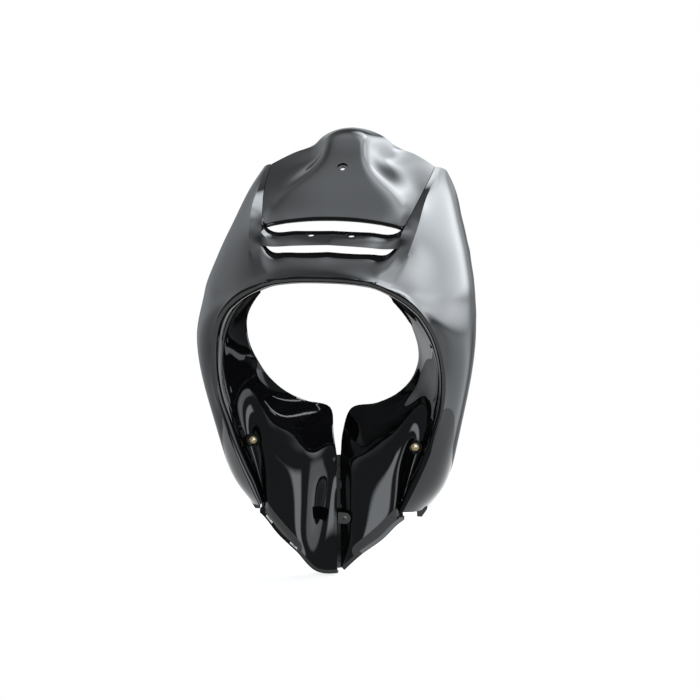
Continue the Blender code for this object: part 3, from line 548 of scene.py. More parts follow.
sideHeights = [0.95, 0.83, 0.7, 0.54, 0.38, 0.22, 0.1, 0.0]  # each row's place along the gap
gapRise = stripLeft[:barStart - fine]


def besideGap(share):
    # the cowl's side edge keeps a gap to the wing all along
    i = share * (len(gapRise) - 1)
    low = min(int(i), len(gapRise) - 2)
    point = gapRise[low] + (gapRise[low + 1] - gapRise[low]) * (i - low)
    return tuple(point + np.array((-2.0 * mould["fitGap"], 0.0, 0.0)))


for row, share in zip(cowlRows, sideHeights):
    row.append(besideGap(share))
# shares of sharpness: the crest of the dome along its row, the hood's shoulder down its column
cowlCrest = np.zeros((len(cowlRows), len(cowlRows[0])))
cowlCrest[6, :4] = (0.9, 0.9, 0.9, 0.3)
cowlCrest[4, :3] = (0.4, 0.4, 0.3)
cowlShoulder = np.zeros_like(cowlCrest)
cowlShoulder[:, 2] = (0.5, 0.9, 0.9, 0.9, 0.9, 0.9, 0.9, 0.0)
cowlAcross = [n * fine for n in (3, 3, 2, 3, 2)]
cowlGrid = faired(net(cowlRows, cowlSpans, cowlAcross, cowlCrest, cowlShoulder),
                  heldLines([cowlSpans] * 7, cowlAcross, cowlCrest, cowlShoulder), mirrored=True)
rollSteps = 5 * fine


def rolledEdge(grid):
    # the first row of a grid rolled backward through an angle, then run on straight
    radius, straight = cowlSizes["beadRadius"], cowlSizes["beadStraight"]
    out = [grid[0]]
    middle = len(grid[0]) // 2
    facing = np.cross(grid[0][middle] - grid[1][middle], (1.0, 0.0, 0.0))
    facing *= -np.sign(facing[1]) / np.linalg.norm(facing)
    for k in range(1, rollSteps + 1):
        angle = math.radians(cowlSizes["beadTurn"]) * k / rollSteps
        row = []
        for p, above in zip(grid[0], grid[1]):
            down = (p - above) * np.array((0.0, 1.0, 1.0))
            down /= np.linalg.norm(down)
            row.append(p + radius * (math.sin(angle) * down + (math.cos(angle) - 1.0) * facing))
        row[-1] = row[-1] - np.array((cowlSizes["beadClear"] * k / rollSteps, 0.0, 0.0))
        out.append(row)
    out.append([p + np.array((0.0, straight, 0.15 * straight)) for p in out[-1]])
    return out


cowlSide = [row[-1] for row in cowlGrid]
cowlFlange = [p + flangeWay * shellSizes["sideReturn"] * min(1.0, 0.15 + i / (4.0 * fine))
              for i, p in enumerate(cowlSide)]
topCowl = openMesh("top_cowl", [cowlGrid, rolledEdge(cowlGrid), [cowlSide, cowlFlange]], (0, -1, 0))
shell(topCowl, mirrored=True)
stageDone("top cowl's surface")

coverSizes = {
    "lobeFullness": 6.0,   # how far the lobes' middles stand forward
    "lipWidth": 5.0,       # lip along the V-shaped edge
    "lipStep": 1.6,
    "lipReturn": 5.0,
    "lipSlotShares": (0.17, 0.6),
    "lipSlotLength": 11.0,
    "lipSlotWidth": 2.2,
    "seamOverhang": 22.0,  # how far the left half's edge runs past the mirrored seam
    "stripWidth": 4.6,     # tongue strip along the seam
    "stripTurn": 1.9,      # how far its inner edge stands forward of its outer one
    "stripStep": 1.3,
    "lapWidth": 6.0,       # lap of the other half behind the strip
    "tongueGroove": 1.1,
    "tongueHeights": (-119.4, -135.3, -213.6, -225.5),
    "padDiameter": 13.5,   # round-ended screw tab beside the seam
    "padHole": 5.4,
    "padRise": 22.0,
    "padHeight": -173.5,
    "padBeside": 13.4,
    "padClear": 0.6,
    "tipDrop": 3.2,        # the left half's rounded tip hangs lower
    "seamShare": 0.12,     # place of the left half's extra column above the ledge
}

# Lower covers. Rows run from the rim's inner edge over channel, ridge and lobe to the opening
# or the seam.
bowlRows = [
    [],
    [(99, 23, 78), (97, 25, 77), (95, 27, 76), (93.5, 29, 75), (92, 31, 74.5), (90.5, 33, 74)],
    [(116, 37, 46), (112.5, 40.5, 46.5), (109, 44, 47), (105, 48, 47.5), (101, 51.5, 48),
     (97.5, 55, 48.5)],
    [(121.5, 51, 21.5), (117.5, 56, 22), (113.5, 61, 23), (109, 66, 24), (104.5, 71, 25), (99.6, 76, 26)],
    [(122, 62, -6), (117.5, 69, -5), (113, 76, -4), (108, 83.5, -2), (102, 91, 0), (95.5, 98, 2)],
    [(119, 69, -29), (114, 77, -29), (109, 84, -28), (103, 92, -26), (95, 101.5, -23.5), (85, 110, -20)],
    [(114, 74, -50), (107.5, 80, -50), (100, 84, -49), (92, 89, -46), (82, 103, -42), (68, 115, -37)],
    [(109.5, 76.5, -66), (101.5, 80.5, -66.5), (90.5, 78, -66), (80, 81, -63), (66, 98, -56),
     (45, 118, -49)],
    [(106.5, 77.5, -80), (98, 79.5, -81), (86.5, 69.5, -80), (76, 70.5, -78), (47, 93, -70),
     (13, 123, -58)],
    [(103, 78, -93), (94.5, 78, -94), (84, 64, -94), (74, 63.5, -94), (43, 79.5, -88.5), (5.5, 106, -84)],
    [(99, 77.5, -105), (91.5, 77, -106), (81.5, 61.5, -107), (71, 59.5, -107), (37, 66, -106.5),
     (2, 87, -107)],
    [(93.5, 76, -119), (88.5, 75, -120), (79.5, 60, -122), (68.5, 57.2, -124), (34.5, 61.5, -128),
     (2.8, 82.5, -130)],
    [(88.3, 73, -137), (85, 71, -137.5), (78.3, 58, -138.5), (66, 55, -144), (34, 56.5, -153),
     (4.2, 76, -156)],
    [(84.3, 70.5, -149.5), (82, 67.5, -150.5), (77.5, 56.5, -152), (64.5, 53, -162), (34.5, 52, -177),
     (5.6, 69.5, -183)],
    [(80.8, 67, -159.3), (79.3, 64, -160.5), (77, 55.5, -163.5), (63.5, 51.5, -179), (35.5, 47, -198),
     (7.6, 59, -211)],
    [(83.8, 61, -171.6), (81.6, 60.2, -173), (78, 58.8, -175.6), (59.9, 51.5, -193.6), (34.9, 42.5, -212),
     (10.6, 43, -231.4)],
]
bowlSpans = [2 * fine] * 14 + [3 * fine]
acrossSpans = [n * fine for n in (2, 2, 2, 2, 3, 4)]
ledgeRow = 10
rimHeights = [88.5, 79.0, 47.0, 19.0, -8.0, -33.0, -55.0, -71.0, -85.0, -98.0, -110.0, -124.0, -138.0,
              -150.0, -159.5]
wingJunction = (85.6, 61.5, -170.5)  # where the outer corner meets the wing's end
rimEdge = rimGrid[-1]
behindRim = np.array((-0.25, mould["fitGap"] + 0.5, 0.0))
bowlRows[0] = [tuple(atHeight(rimEdge, z) + behindRim) for z in (90.2, 91.8, 93.4, 94.9, 96.3, 97.5)]
# shares of sharpness: the ledge breaks across the lobes, the ridge breaks beside the channel
ledgeBreak = {ledgeRow: (0.0, 0.0, 0.0, 0.0, 0.3, 1.0, 1.0)}
ridgeBreak = {7: 0.3, 8: 0.7, 9: 0.9, 10: 0.9, 11: 0.9, 12: 0.9, 13: 0.8, 14: 0.6}
ridgeColumn = 3
seamLine = [row[-1] for row in bowlRows[ledgeRow:]]


def coverRows(side):
    # each drawn row with its outer end on the rim added, and its inner end carried on to the seam
    rows = []
    for i, row in enumerate(bowlRows):
        if i < len(rimHeights):
            outer = atHeight(rimEdge, rimHeights[i]) + behindRim
            outer[1] += 0.4 * max(0, i - 12)  # the foot's rows step back from the rim
        else:
            outer = wingJunction
        full = [tuple(outer)] + list(row)
        x, y, z = row[-1]
        seam = (x - mould["seamGap"], y + 1.0, z)
        if side > 0:
            seam = (x + coverSizes["stripWidth"], y - 0.5, z)
        full = [(side * p[0], p[1], p[2]) for p in full]
        if ledgeRow < i < len(bowlRows) - 1:
            px, py, pz = full[5]
            full[5] = (px, py - coverSizes["lobeFullness"], pz)
        if i >= ledgeRow:
            # the left half reaches over the middle to the seam
            full = full[:-1] + [seam] if side > 0 else full + [seam]
            if side < 0 and i == len(bowlRows) - 1:
                full[-2:] = [(px, py, pz - coverSizes["tipDrop"]) for px, py, pz in full[-2:]]
        elif side < 0:
            last, before = np.array(full[-1]), np.array(full[-2])
            full[-1:] = [tuple(last + (before - last) * coverSizes["seamShare"]), tuple(last)]
        rows.append(full)
    return rows


def coverGrid(side):
    rows = coverRows(side)
    down = np.zeros((len(rows), len(rows[0])))
    over = np.zeros((len(rows), len(rows[0])))
    for i, shares in ledgeBreak.items():
        down[i, :len(shares)] = shares
        down[i, len(shares):] = shares[-1]
    for i, share in ridgeBreak.items():
        over[i, ridgeColumn] = share
    spans = acrossSpans if side > 0 else acrossSpans + [2 * fine]
    return faired(net(rows, bowlSpans, spans, down, over), heldLines(bowlSpans, spans, down, over))


def vLip(grid, side):
    # step, lip and return along the lower edge of a cover, from the wing's end to the seam
    edge = list(grid[-1])
    rows = [edge, [], [], []]
    for i, point in enumerate(edge):
        before, after = edge[max(i - 1, 0)], edge[min(i + 1, len(edge) - 1)]
        run = (after - before) * np.array((1.0, 0.0, 1.0))
        run /= np.linalg.norm(run)
        out = np.array((-run[2], 0.0, run[0])) * side
        grow = min(1.0, 0.35 + 0.35 * i / fine)
        step = point + back * coverSizes["lipStep"] * grow
        lip = step + out * coverSizes["lipWidth"] * grow
        for row, at in zip(rows[1:], (step, lip, lip + back * coverSizes["lipReturn"])):
            row.append(at)
    return rows


def seamEdge(grid, side):
    # the right half steps back to a flat strip; the left half runs back and laps behind that strip
    edge = [row[-1] for row in grid[sum(bowlSpans[:ledgeRow]):]]
    if side > 0:
        deep = coverSizes["stripStep"]
        over = (-coverSizes["stripWidth"], -coverSizes["stripTurn"], 0.0)
    else:
        edge = edge[fine:-1]
        deep = coverSizes["stripStep"] - 1.5 + 1.35 * mould["wall"] + mould["seamGap"]
        over = (mould["seamGap"] + coverSizes["lapWidth"], 0.0, 0.0)
    web = [p + back * deep for p in edge]
    return [edge, web, [p + np.array(over) for p in web]]


def lowerCover(side):
    grid = coverGrid(side)
    made = openMesh("lower_cover_" + hand[side], [grid, vLip(grid, side), seamEdge(grid, side)],
                    (-side * 0.7, -0.7, 0))
    shell(made)
    return made


coverRight = lowerCover(1)
coverLeft = lowerCover(-1)
stageDone("lower covers' surfaces")

# Fixings between the outer moulding and the covers: a boss between the rim's two walls, a lug on the
# cover behind it, and a screw through the lug from the rear.
screwSizes = {
    "shank": 4.0,
    "head": 8.0,
    "headHeight": 2.6,
    "length": 12.0,
    "cowlLength": 8.0,     # of the screws between cowl and wings
    "bossDiameter": 9.0,
    "bossReach": (21.0, 21.0, 15.7),   # from the rim's crest back to the lug, upper to lower
    "bossStart": 6.5,
    "wingBossLength": 7.0,
    "lugThickness": 2.6,
    "lugWidth": 11.0,
    "lugBite": 0.8,        # how far a lug runs into the cover's wall
    "coverHeights": (42.0, -28.0, -122.0),
    "cowlShares": (0.24, 0.76),        # places along the gap
}
clearHole = screwSizes["shank"] + 2 * mould["seamGap"]
screwPlaces = {}


def screw(name, at, axis, length):
    # seat of the head, the way out of it, and the shank's length
    screwPlaces[name] = (np.array(at), np.array(axis) / np.linalg.norm(axis), length)


def rimPlace(height):
    chain = wingInner[len(stripRight) - 1:]
    above, below = atHeight(chain, height + 4.0), atHeight(chain, height - 4.0)
    tx, tz = below[0] - above[0], below[2] - above[2]
    size = math.hypot(tx, tz)
    return atHeight(chain, height), np.array((tz / size, 0.0, -tx / size))


def coverFixing(number, side, cover):
    thick, bossRadius = screwSizes["lugThickness"], screwSizes["bossDiameter"] / 2
    point, inward = rimPlace(screwSizes["coverHeights"][number])
    reach = screwSizes["bossReach"][number] * unit[1]
    # a panel of another width has walls of another slope, so its bosses start further inside the wall
    start = screwSizes["bossStart"] * unit[1] * min(unit[0], 1 / unit[0])
    flip = np.array((side, 1.0, 1.0))
    crest = placed(point * flip)
    inward = inward * flip
    addBody(outerShell, turned("boss", rod(bossRadius, reach - start), crest + back * start * mm, back))
    cutAway(outerShell, turned("pilot bore", rod(clearHole / 2, screwSizes["length"]),
                               crest + back * (reach - 10.0) * mm, back))
    # the lug runs from the boss's far side to the cover's wall, which a ray finds
    line = crest + back * (reach + mould["seamGap"] + thick / 2) * mm
    tree = BVHTree.FromPolygons([v.co for v in cover.data.vertices],
                                [p.vertices for p in cover.data.polygons])
    inner = tree.ray_cast(Vector(line), Vector(inward))[3] / mm - screwSizes["lugBite"]
    addBody(cover, plate("lug", line + inward * (inner - bossRadius) / 2 * mm,
                         (inner + bossRadius, thick, screwSizes["lugWidth"]),
                         (inward, back, np.cross(inward, back))))
    cutAway(cover, turned("lug hole", rod(clearHole / 2, 3 * thick), line - back * 1.5 * thick * mm, back))
    seat = line + back * (thick / 2 + mould["seamGap"]) * mm
    screw("cover_screw_%s_%d" % (hand[side], number + 1), seat, back, screwSizes["length"])


for number in range(len(screwSizes["coverHeights"])):
    coverFixing(number, 1, coverRight)
    coverFixing(number, -1, coverLeft)


# Fixings between the cowl and the wings: screws along X through the two flanges beside the gap.
def cowlFixing(number, side):
    rise = gapRise[::-1]
    i = round(screwSizes["cowlShares"][number] * (len(rise) - 1))
    flip = np.array((side, 1.0, 1.0))
    at = placed((rise[i] + flangeWay * shellSizes["sideReturn"] * 0.6) * flip)
    out = np.cross(flangeWay, rise[i + 1] - rise[i - 1])
    out *= flip * np.sign(out[0]) / np.linalg.norm(out)
    length = screwSizes["cowlLength"]
    bossRadius = screwSizes["bossDiameter"] / 2 - 0.5
    addBody(outerShell, turned("wing boss", rod(bossRadius, screwSizes["wingBossLength"]),
                               at + out * 1.1 * mm, out))
    cutAway(outerShell, turned("wing bore", rod(clearHole / 2, length + 1.5), at - out * 3.5 * mm, out))
    cutAway(topCowl, turned("cowl flange hole", rod(clearHole / 2, 8.0), at - out * 7.0 * mm, out))
    seat = 2 * mould["fitGap"] + mould["wall"] + mould["seamGap"]
    screw("cowl_screw_%s_%d" % (hand[side], number + 1), at - out * seat * mm, -out, length)


for number in range(len(screwSizes["cowlShares"])):
    cowlFixing(number, 1)
    cowlFixing(number, -1)

# Captive nuts in the side channels, each in a round seat.
nutSizes = {"body": 7.2, "seatDiameter": 12.0, "seatDepth": 2.6, "place": (97.0, 75.6, -91.0)}
for side, cover in ((1, coverRight), (-1, coverLeft)):
    x, y, z = nutSizes["place"]
    middle = placed((side * x, y, z))
    radius, deep = nutSizes["seatDiameter"] / 2, nutSizes["seatDepth"]
    addBody(cover, turned("seat cup", rod(radius + mould["wall"], deep + mould["wall"]), middle, back, 56))
    well = steppedRod(deep - 20.0, radius, deep, nutSizes["body"] / 2 + mould["seamGap"], 16.0)
    cutAway(cover, turned("seat well", well, middle, back, 56))

# Screw tab of the right half: a round-ended tab that stands forward beside the seam, with an empty hole.
seamCurve = [tuple(p) for p in through(seamLine, 3)]
padAt = atHeight(seamCurve, coverSizes["padHeight"])
padAt = padAt + np.array((coverSizes["padBeside"], -coverSizes["padRise"], 0.0))
radius = coverSizes["padDiameter"] / 2
turns = [math.radians(turn) for turn in range(-90, 91, 15)]
padOutline = [(padAt[0] + radius * math.cos(t), padAt[2] + radius * math.sin(t)) for t in turns]
padRoot = padAt[0] - coverSizes["padBeside"] + coverSizes["stripWidth"] + coverSizes["padClear"]
padOutline += [(padRoot, padAt[2] + radius), (padRoot, padAt[2] - radius)]
addBody(coverRight, prism("screw tab", padOutline, padAt[1], coverSizes["padRise"] + 0.9))
cutAway(coverRight, turned("pad bore", rod(coverSizes["padHole"] / 2, 34.0),
                           placed(padAt) - back * 8.0 * mm, back, 40))

# Grooves that divide the seam strip into tongues.
for height in coverSizes["tongueHeights"]:
    at = atHeight(seamCurve, height)
    at = at + np.array((coverSizes["stripWidth"] * 0.3, coverSizes["stripStep"] - 0.5, 0.0))
    size = (coverSizes["stripWidth"] * 1.7, 2 * coverSizes["tongueGroove"], coverSizes["tongueGroove"])
    cutAway(coverRight, plate("tongue groove", placed(at), size, np.eye(3)))


# Slots through the lip along the covers' lower edge.
def lipSlots(cover, side):
    edge = coverGrid(side)[-1]
    run = np.cumsum([0.0] + [float(np.linalg.norm(b - a)) for a, b in zip(edge, edge[1:])])
    for share in coverSizes["lipSlotShares"]:
        along = share * run[-1] if side > 0 else share * (run[-1] - coverSizes["seamOverhang"])
        middle, before, after = [np.array([np.interp(along + off, run, edge[:, k]) for k in range(3)])
                                 for off in (0.0, -3.0, 3.0)]
        way = (after - before) * np.array((1.0, 0.0, 1.0))
        way /= np.linalg.norm(way)
        out = np.array((-way[2], 0.0, way[0])) * side
        at = placed(middle + out * coverSizes["lipWidth"] * 0.42 + back * coverSizes["lipStep"])
        size = (coverSizes["lipSlotLength"], 9.0, coverSizes["lipSlotWidth"])
        cutAway(cover, plate("lip slot", at, size, (way, back, out)))


lipSlots(coverRight, 1)
lipSlots(coverLeft, -1)

# Hooks that hang from the wings' lower ends, and holes in the bar, each in a shallow round seat.
ledgeTilt = math.atan2(shellSizes["ledgeRise"], shellSizes["ledgeDepth"])
ledgeNormal = np.array((0.0, -math.sin(ledgeTilt), math.cos(ledgeTilt)))
barEdge = barRows[0][0]
barHoleRise = shellSizes["barHoleBack"] * shellSizes["ledgeRise"] / shellSizes["ledgeDepth"]
for side in (-1, 1):
    outline = [(side * x, z) for x, z in shellSizes["hookOutline"]]
    addBody(outerShell, prism("hook", outline, shellSizes["hookFront"], shellSizes["hookThickness"]))
    at = placed((side * shellSizes["barHoleSpacing"] / 2, barEdge[1] + shellSizes["barHoleBack"],
                 barEdge[2] + barHoleRise - 0.3))
    step = steppedRod(-9.0, shellSizes["barHole"] / 2, -shellSizes["barSeatDepth"],
                      shellSizes["barSeat"] / 2, 5.0)
    cutAway(outerShell, turned("bar hole", step, at, ledgeNormal, 48))

# The hole in the cowl, in a dished seat with a boss behind it.
facing = np.array(cowlSizes["seatFacing"])
at = placed(cowlSizes["seatAt"])
radius = cowlSizes["seat"] / 2
addBody(topCowl, turned("cowl boss", rod(radius + 1.6, 3.4), at - facing * 4.4 * mm, facing, 56))
step = steppedRod(-15.0, cowlSizes["hole"] / 2, -cowlSizes["seatDepth"], radius, 9.0)
cutAway(topCowl, turned("cowl seat", step, at, facing, 56))

for moulding in (outerShell, topCowl, coverRight, coverLeft):
    applyTools(moulding)
stageDone("fixings, hooks and holes")


# Materials
def linear(code):
    # sRGB hex to the linear colour that the shaders take
    parts = [int(code[k:k + 2], 16) / 255 for k in (1, 3, 5)]
    return tuple(c / 12.92 if c <= 0.04045 else ((c + 0.055) / 1.055) ** 2.4 for c in parts) + (1.0,)


def nodesOf(tree):
    # gives a function that adds one node; an input given as a socket is linked, any other is set
    def add(kind, settings=None, inputs=None):
        node = tree.nodes.new(kind)
        for name, value in (settings or {}).items():
            setattr(node, name, value)
        for name, value in (inputs or {}).items():
            if isinstance(value, bpy.types.NodeSocket):
                tree.links.new(value, node.inputs[name])
            else:
                node.inputs[name].default_value = value
        return node
    return add


def driftingFinish(name, shaderInputs, scale, detail, tints):
    # a finish whose colour drifts between two tints; scale is in waves per metre
    made = bpy.data.materials.new(name)
    made.use_nodes = True
    made.node_tree.nodes.clear()
    add = nodesOf(made.node_tree)
    shader = add("ShaderNodeBsdfPrincipled", None, shaderInputs)
    add("ShaderNodeOutputMaterial", None, {"Surface": shader.outputs[0]})
    place = add("ShaderNodeTexCoord").outputs["Object"]
    drift = add("ShaderNodeTexNoise", None, {"Vector": place, "Scale": scale, "Detail": detail})
    tone = add("ShaderNodeMix", {"data_type": "RGBA"}, {"Factor": drift.outputs["Fac"]})
    for socket, tint in zip(tone.inputs[6:8], tints):
        socket.default_value = linear(tint)
    made.node_tree.links.new(tone.outputs[2], shader.inputs["Base Color"])
    return made, add, shader, place


# Gloss black ABS, moulded and lacquered: near black with sharp reflections and a trace of orange peel.
glossBlack, add, shader, place = driftingFinish("glossBlackLacqueredAbs", {"IOR": 1.5, "Roughness": 0.03},
                                                14.0, 3.0, ("#060607", "#0a0a0b"))
# waves of 4 mm
peel = add("ShaderNodeTexNoise", None, {"Vector": place, "Scale": 260.0, "Detail": 1.0})
bump = add("ShaderNodeBump", None, {"Height": peel.outputs["Fac"], "Strength": 0.02, "Distance": 0.0004})
glossBlack.node_tree.links.new(bump.outputs["Normal"], shader.inputs["Normal"])

# Yellow passivated zinc on turned steel: straw gold with a faint drift of tint.
yellowZinc = driftingFinish("yellowPassivatedZinc", {"Metallic": 1.0, "Roughness": 0.32},
                            180.0, 2.0, ("#b0975c", "#a3936f"))[0]

# Black zinc on pressed steel screws: dull, slightly uneven.
blackZinc = driftingFinish("blackZincSteel", {"Metallic": 1.0, "Roughness": 0.42},
                           300.0, 2.0, ("#2c2c2e", "#3a393a"))[0]


def evaluated(thing, name):
    # the evaluated shape as a plain mesh under its final name
    mesh = bpy.data.meshes.new_from_object(thing.evaluated_get(bpy.context.evaluated_depsgraph_get()))
    bpy.data.objects.remove(thing, do_unlink=True)
    mesh.shade_smooth()
    mesh.set_sharp_from_angle(angle=sharpAngle)
    stageDone("%s: %d faces" % (name, len(mesh.polygons)))
    return newObject(name, mesh)


mouldings = [(outerShell, "outerShellMoulding", "outer_shell"), (topCowl, "topCowlMoulding", "top_cowl"),
             (coverRight, "lowerCoverRightMoulding", "lower_cover_right"),
             (coverLeft, "lowerCoverLeftMoulding", "lower_cover_left")]
pieces = []
for thing, name, node in mouldings:
    piece = evaluated(thing, name)
    piece.data.materials.clear()
    piece.data.materials.append(glossBlack)
    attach(piece, "root")
    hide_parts(node)
    pieces.append(piece)

# every helper body left from the cuts goes
for thing in list(bpy.data.objects):
    if thing.type == "MESH" and thing not in pieces and thing.name not in frame["nodes"]:
        bpy.data.objects.remove(thing, do_unlink=True)

for name, node in frame["nodes"].items():
    node.data.materials.clear()
    node.data.materials.append(yellowZinc if "nut" in name else blackZinc)


# Self-tapping screws from behind: pan head with a cross recess, shank and thread, set out on points.
threadSizes = {"pitch": 1.6, "depth": 0.38}
# each length in the screw as a share of one of the tree's inputs
screwShape = {
    "rimHigh": ("Head Height", 0.44),
    "rimMiddle": ("Head Height", 0.22),
    "crownHigh": ("Head Height", 0.6),
    "crownFoot": ("Head Height", 0.4),
    "crownWide": ("Head Radius", 0.72),
    "recessLong": ("Head Radius", 1.05),    # cross recess
    "recessWide": ("Head Radius", 0.26),
    "recessHigh": ("Head Height", 1.2),
    "core": ("Shank Radius", 0.86),         # between the threads
    "shankMiddle": ("Length", -0.5),
    "threaded": ("Length", 0.78),
    "threadStart": ("Length", -0.97),
}


def screwTree():
    tree = bpy.data.node_groups.new("selfTappingScrews", "GeometryNodeTree")
    tree.interface.new_socket("Points", in_out="INPUT", socket_type="NodeSocketGeometry")
    for label in ("Shank Radius", "Head Radius", "Head Height", "Length", "Thread Pitch", "Thread Depth"):
        tree.interface.new_socket(label, in_out="INPUT", socket_type="NodeSocketFloat")
    tree.interface.new_socket("Finish", in_out="INPUT", socket_type="NodeSocketMaterial")
    tree.interface.new_socket("Screws", in_out="OUTPUT", socket_type="NodeSocketGeometry")
    add = nodesOf(tree)
    given = add("NodeGroupInput").outputs
    size = {}
    for label, (source, share) in screwShape.items():
        size[label] = add("ShaderNodeMath", {"operation": "MULTIPLY"}, {
            0: given[source], 1: share}).outputs[0]

    def raised(mesh, height):
        place = add("ShaderNodeCombineXYZ", None, {"Z": height}).outputs[0]
        return add("GeometryNodeTransform", None, {"Geometry": mesh, "Translation": place}).outputs[0]

    rim = add("GeometryNodeMeshCylinder", None, {
        "Vertices": 32, "Radius": given["Head Radius"], "Depth": size["rimHigh"]}).outputs["Mesh"]
    crown = add("GeometryNodeMeshCone", None, {
        "Vertices": 32, "Radius Bottom": given["Head Radius"], "Radius Top": size["crownWide"],
        "Depth": size["crownHigh"]}).outputs["Mesh"]
    head = add("GeometryNodeMeshBoolean", {"operation": "UNION"})
    tree.links.new(raised(rim, size["rimMiddle"]), head.inputs["Mesh 2"])
    tree.links.new(raised(crown, size["crownFoot"]), head.inputs["Mesh 2"])
    recess = add("GeometryNodeMeshBoolean", {"operation": "DIFFERENCE"}, {"Mesh 1": head.outputs["Mesh"]})
    for wide, narrow in (("X", "Y"), ("Y", "X")):
        block = add("ShaderNodeCombineXYZ", None, {
            wide: size["recessLong"], narrow: size["recessWide"], "Z": size["recessHigh"]}).outputs[0]
        slot = add("GeometryNodeMeshCube", None, {"Size": block}).outputs["Mesh"]
        tree.links.new(raised(slot, given["Head Height"]), recess.inputs["Mesh 2"])
    shank = add("GeometryNodeMeshCylinder", None, {
        "Vertices": 24, "Radius": size["core"], "Depth": given["Length"]}).outputs["Mesh"]
    turnsOfThread = add("ShaderNodeMath", {"operation": "DIVIDE"}, {
        0: size["threaded"], 1: given["Thread Pitch"]}).outputs[0]
    helix = add("GeometryNodeCurveSpiral", None, {
        "Resolution": 20, "Rotations": turnsOfThread, "Start Radius": size["core"],
        "End Radius": size["core"], "Height": size["threaded"]}).outputs["Curve"]
    edge = add("GeometryNodeCurvePrimitiveCircle", None, {
        "Resolution": 3, "Radius": given["Thread Depth"]}).outputs["Curve"]
    thread = add("GeometryNodeCurveToMesh", None, {
        "Curve": helix, "Profile Curve": edge, "Fill Caps": True}).outputs["Mesh"]
    whole = add("GeometryNodeJoinGeometry")
    for mesh in (recess.outputs["Mesh"], raised(shank, size["shankMiddle"]),
                 raised(thread, size["threadStart"])):
        tree.links.new(mesh, whole.inputs["Geometry"])
    way = add("GeometryNodeInputNamedAttribute", {"data_type": "FLOAT_VECTOR"}, {"Name": "way"})
    turned = add("FunctionNodeAlignRotationToVector", {"axis": "Z"}, {
        "Vector": way.outputs["Attribute"]}).outputs["Rotation"]
    spread = add("GeometryNodeInstanceOnPoints", None, {
        "Points": given["Points"], "Instance": whole.outputs["Geometry"], "Rotation": turned})
    real = add("GeometryNodeRealizeInstances", None, {"Geometry": spread.outputs["Instances"]})
    painted = add("GeometryNodeSetMaterial", None, {
        "Geometry": real.outputs["Geometry"], "Material": given["Finish"]})
    add("NodeGroupOutput", None, {"Screws": painted.outputs["Geometry"]})
    return tree


screws = screwTree()


def screwSet(name, start):
    # every screw whose node's name begins so, as one piece
    chosen = [n for n in screwPlaces if n.startswith(start)]
    points = bpy.data.meshes.new(name + "Points")
    points.from_pydata([tuple(screwPlaces[n][0]) for n in chosen], [], [])
    ways = points.attributes.new("way", "FLOAT_VECTOR", "POINT")
    for k, n in enumerate(chosen):
        ways.data[k].vector = screwPlaces[n][1]
    carrier = newObject(name + "Points", points)
    modifier = carrier.modifiers.new("screws", "NODES")
    modifier.node_group = screws
    values = {"Shank Radius": screwSizes["shank"] / 2, "Head Radius": screwSizes["head"] / 2,
              "Head Height": screwSizes["headHeight"], "Length": screwPlaces[chosen[0]][2],
              "Thread Pitch": threadSizes["pitch"], "Thread Depth": threadSizes["depth"]}
    for socket in screws.interface.items_tree:
        if socket.name in values:
            modifier[socket.identifier] = values[socket.name] * mm
        elif socket.name == "Finish":
            modifier[socket.identifier] = blackZinc
    made = evaluated(carrier, name)
    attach(made, "root")
    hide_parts(*chosen)


screwSet("coverScrews", "cover_screw")
screwSet("cowlScrews", "cowl_screw")

# Floor: a round white table top, in metres
table = {
    "radius": 0.42,
    "drop": 0.001,     # below the lowest point
    "glow": 0.78,      # what it shows of itself, apart from the light that falls on it
    "colour": (0.27, 0.27, 0.27, 1.0),
    "sides": 96,
}
floorMesh = bpy.data.meshes.new("floor")
low = cadBox[0][2] - table["drop"]
turns = [2 * math.pi * k / table["sides"] for k in range(table["sides"])]
floorMesh.from_pydata([(table["radius"] * math.cos(t), table["radius"] * math.sin(t), low) for t in turns],
                      [], [list(range(table["sides"]))])
floor = newObject("floor", floorMesh)
pale = bpy.data.materials.new("whiteTableTop")
pale.use_nodes = True
pale.node_tree.nodes.clear()
add = nodesOf(pale.node_tree)
rays = add("ShaderNodeLightPath").outputs
seen = rays["Is Camera Ray"]
for kind in ("Is Glossy Ray", "Is Transmission Ray"):
    seen = add("ShaderNodeMath", {"operation": "MAXIMUM"}, {0: seen, 1: rays[kind]}).outputs[0]
shown = add("ShaderNodeMath", {"operation": "MULTIPLY"}, {0: seen, 1: table["glow"]})
matt = add("ShaderNodeBsdfDiffuse", None, {"Color": table["colour"]})
glow = add("ShaderNodeEmission", None, {"Strength": shown.outputs[0]})
both = add("ShaderNodeAddShader", None, {0: matt.outputs[0], 1: glow.outputs[0]})
add("ShaderNodeOutputMaterial", None, {"Surface": both.outputs[0]})
floorMesh.materials.append(pale)

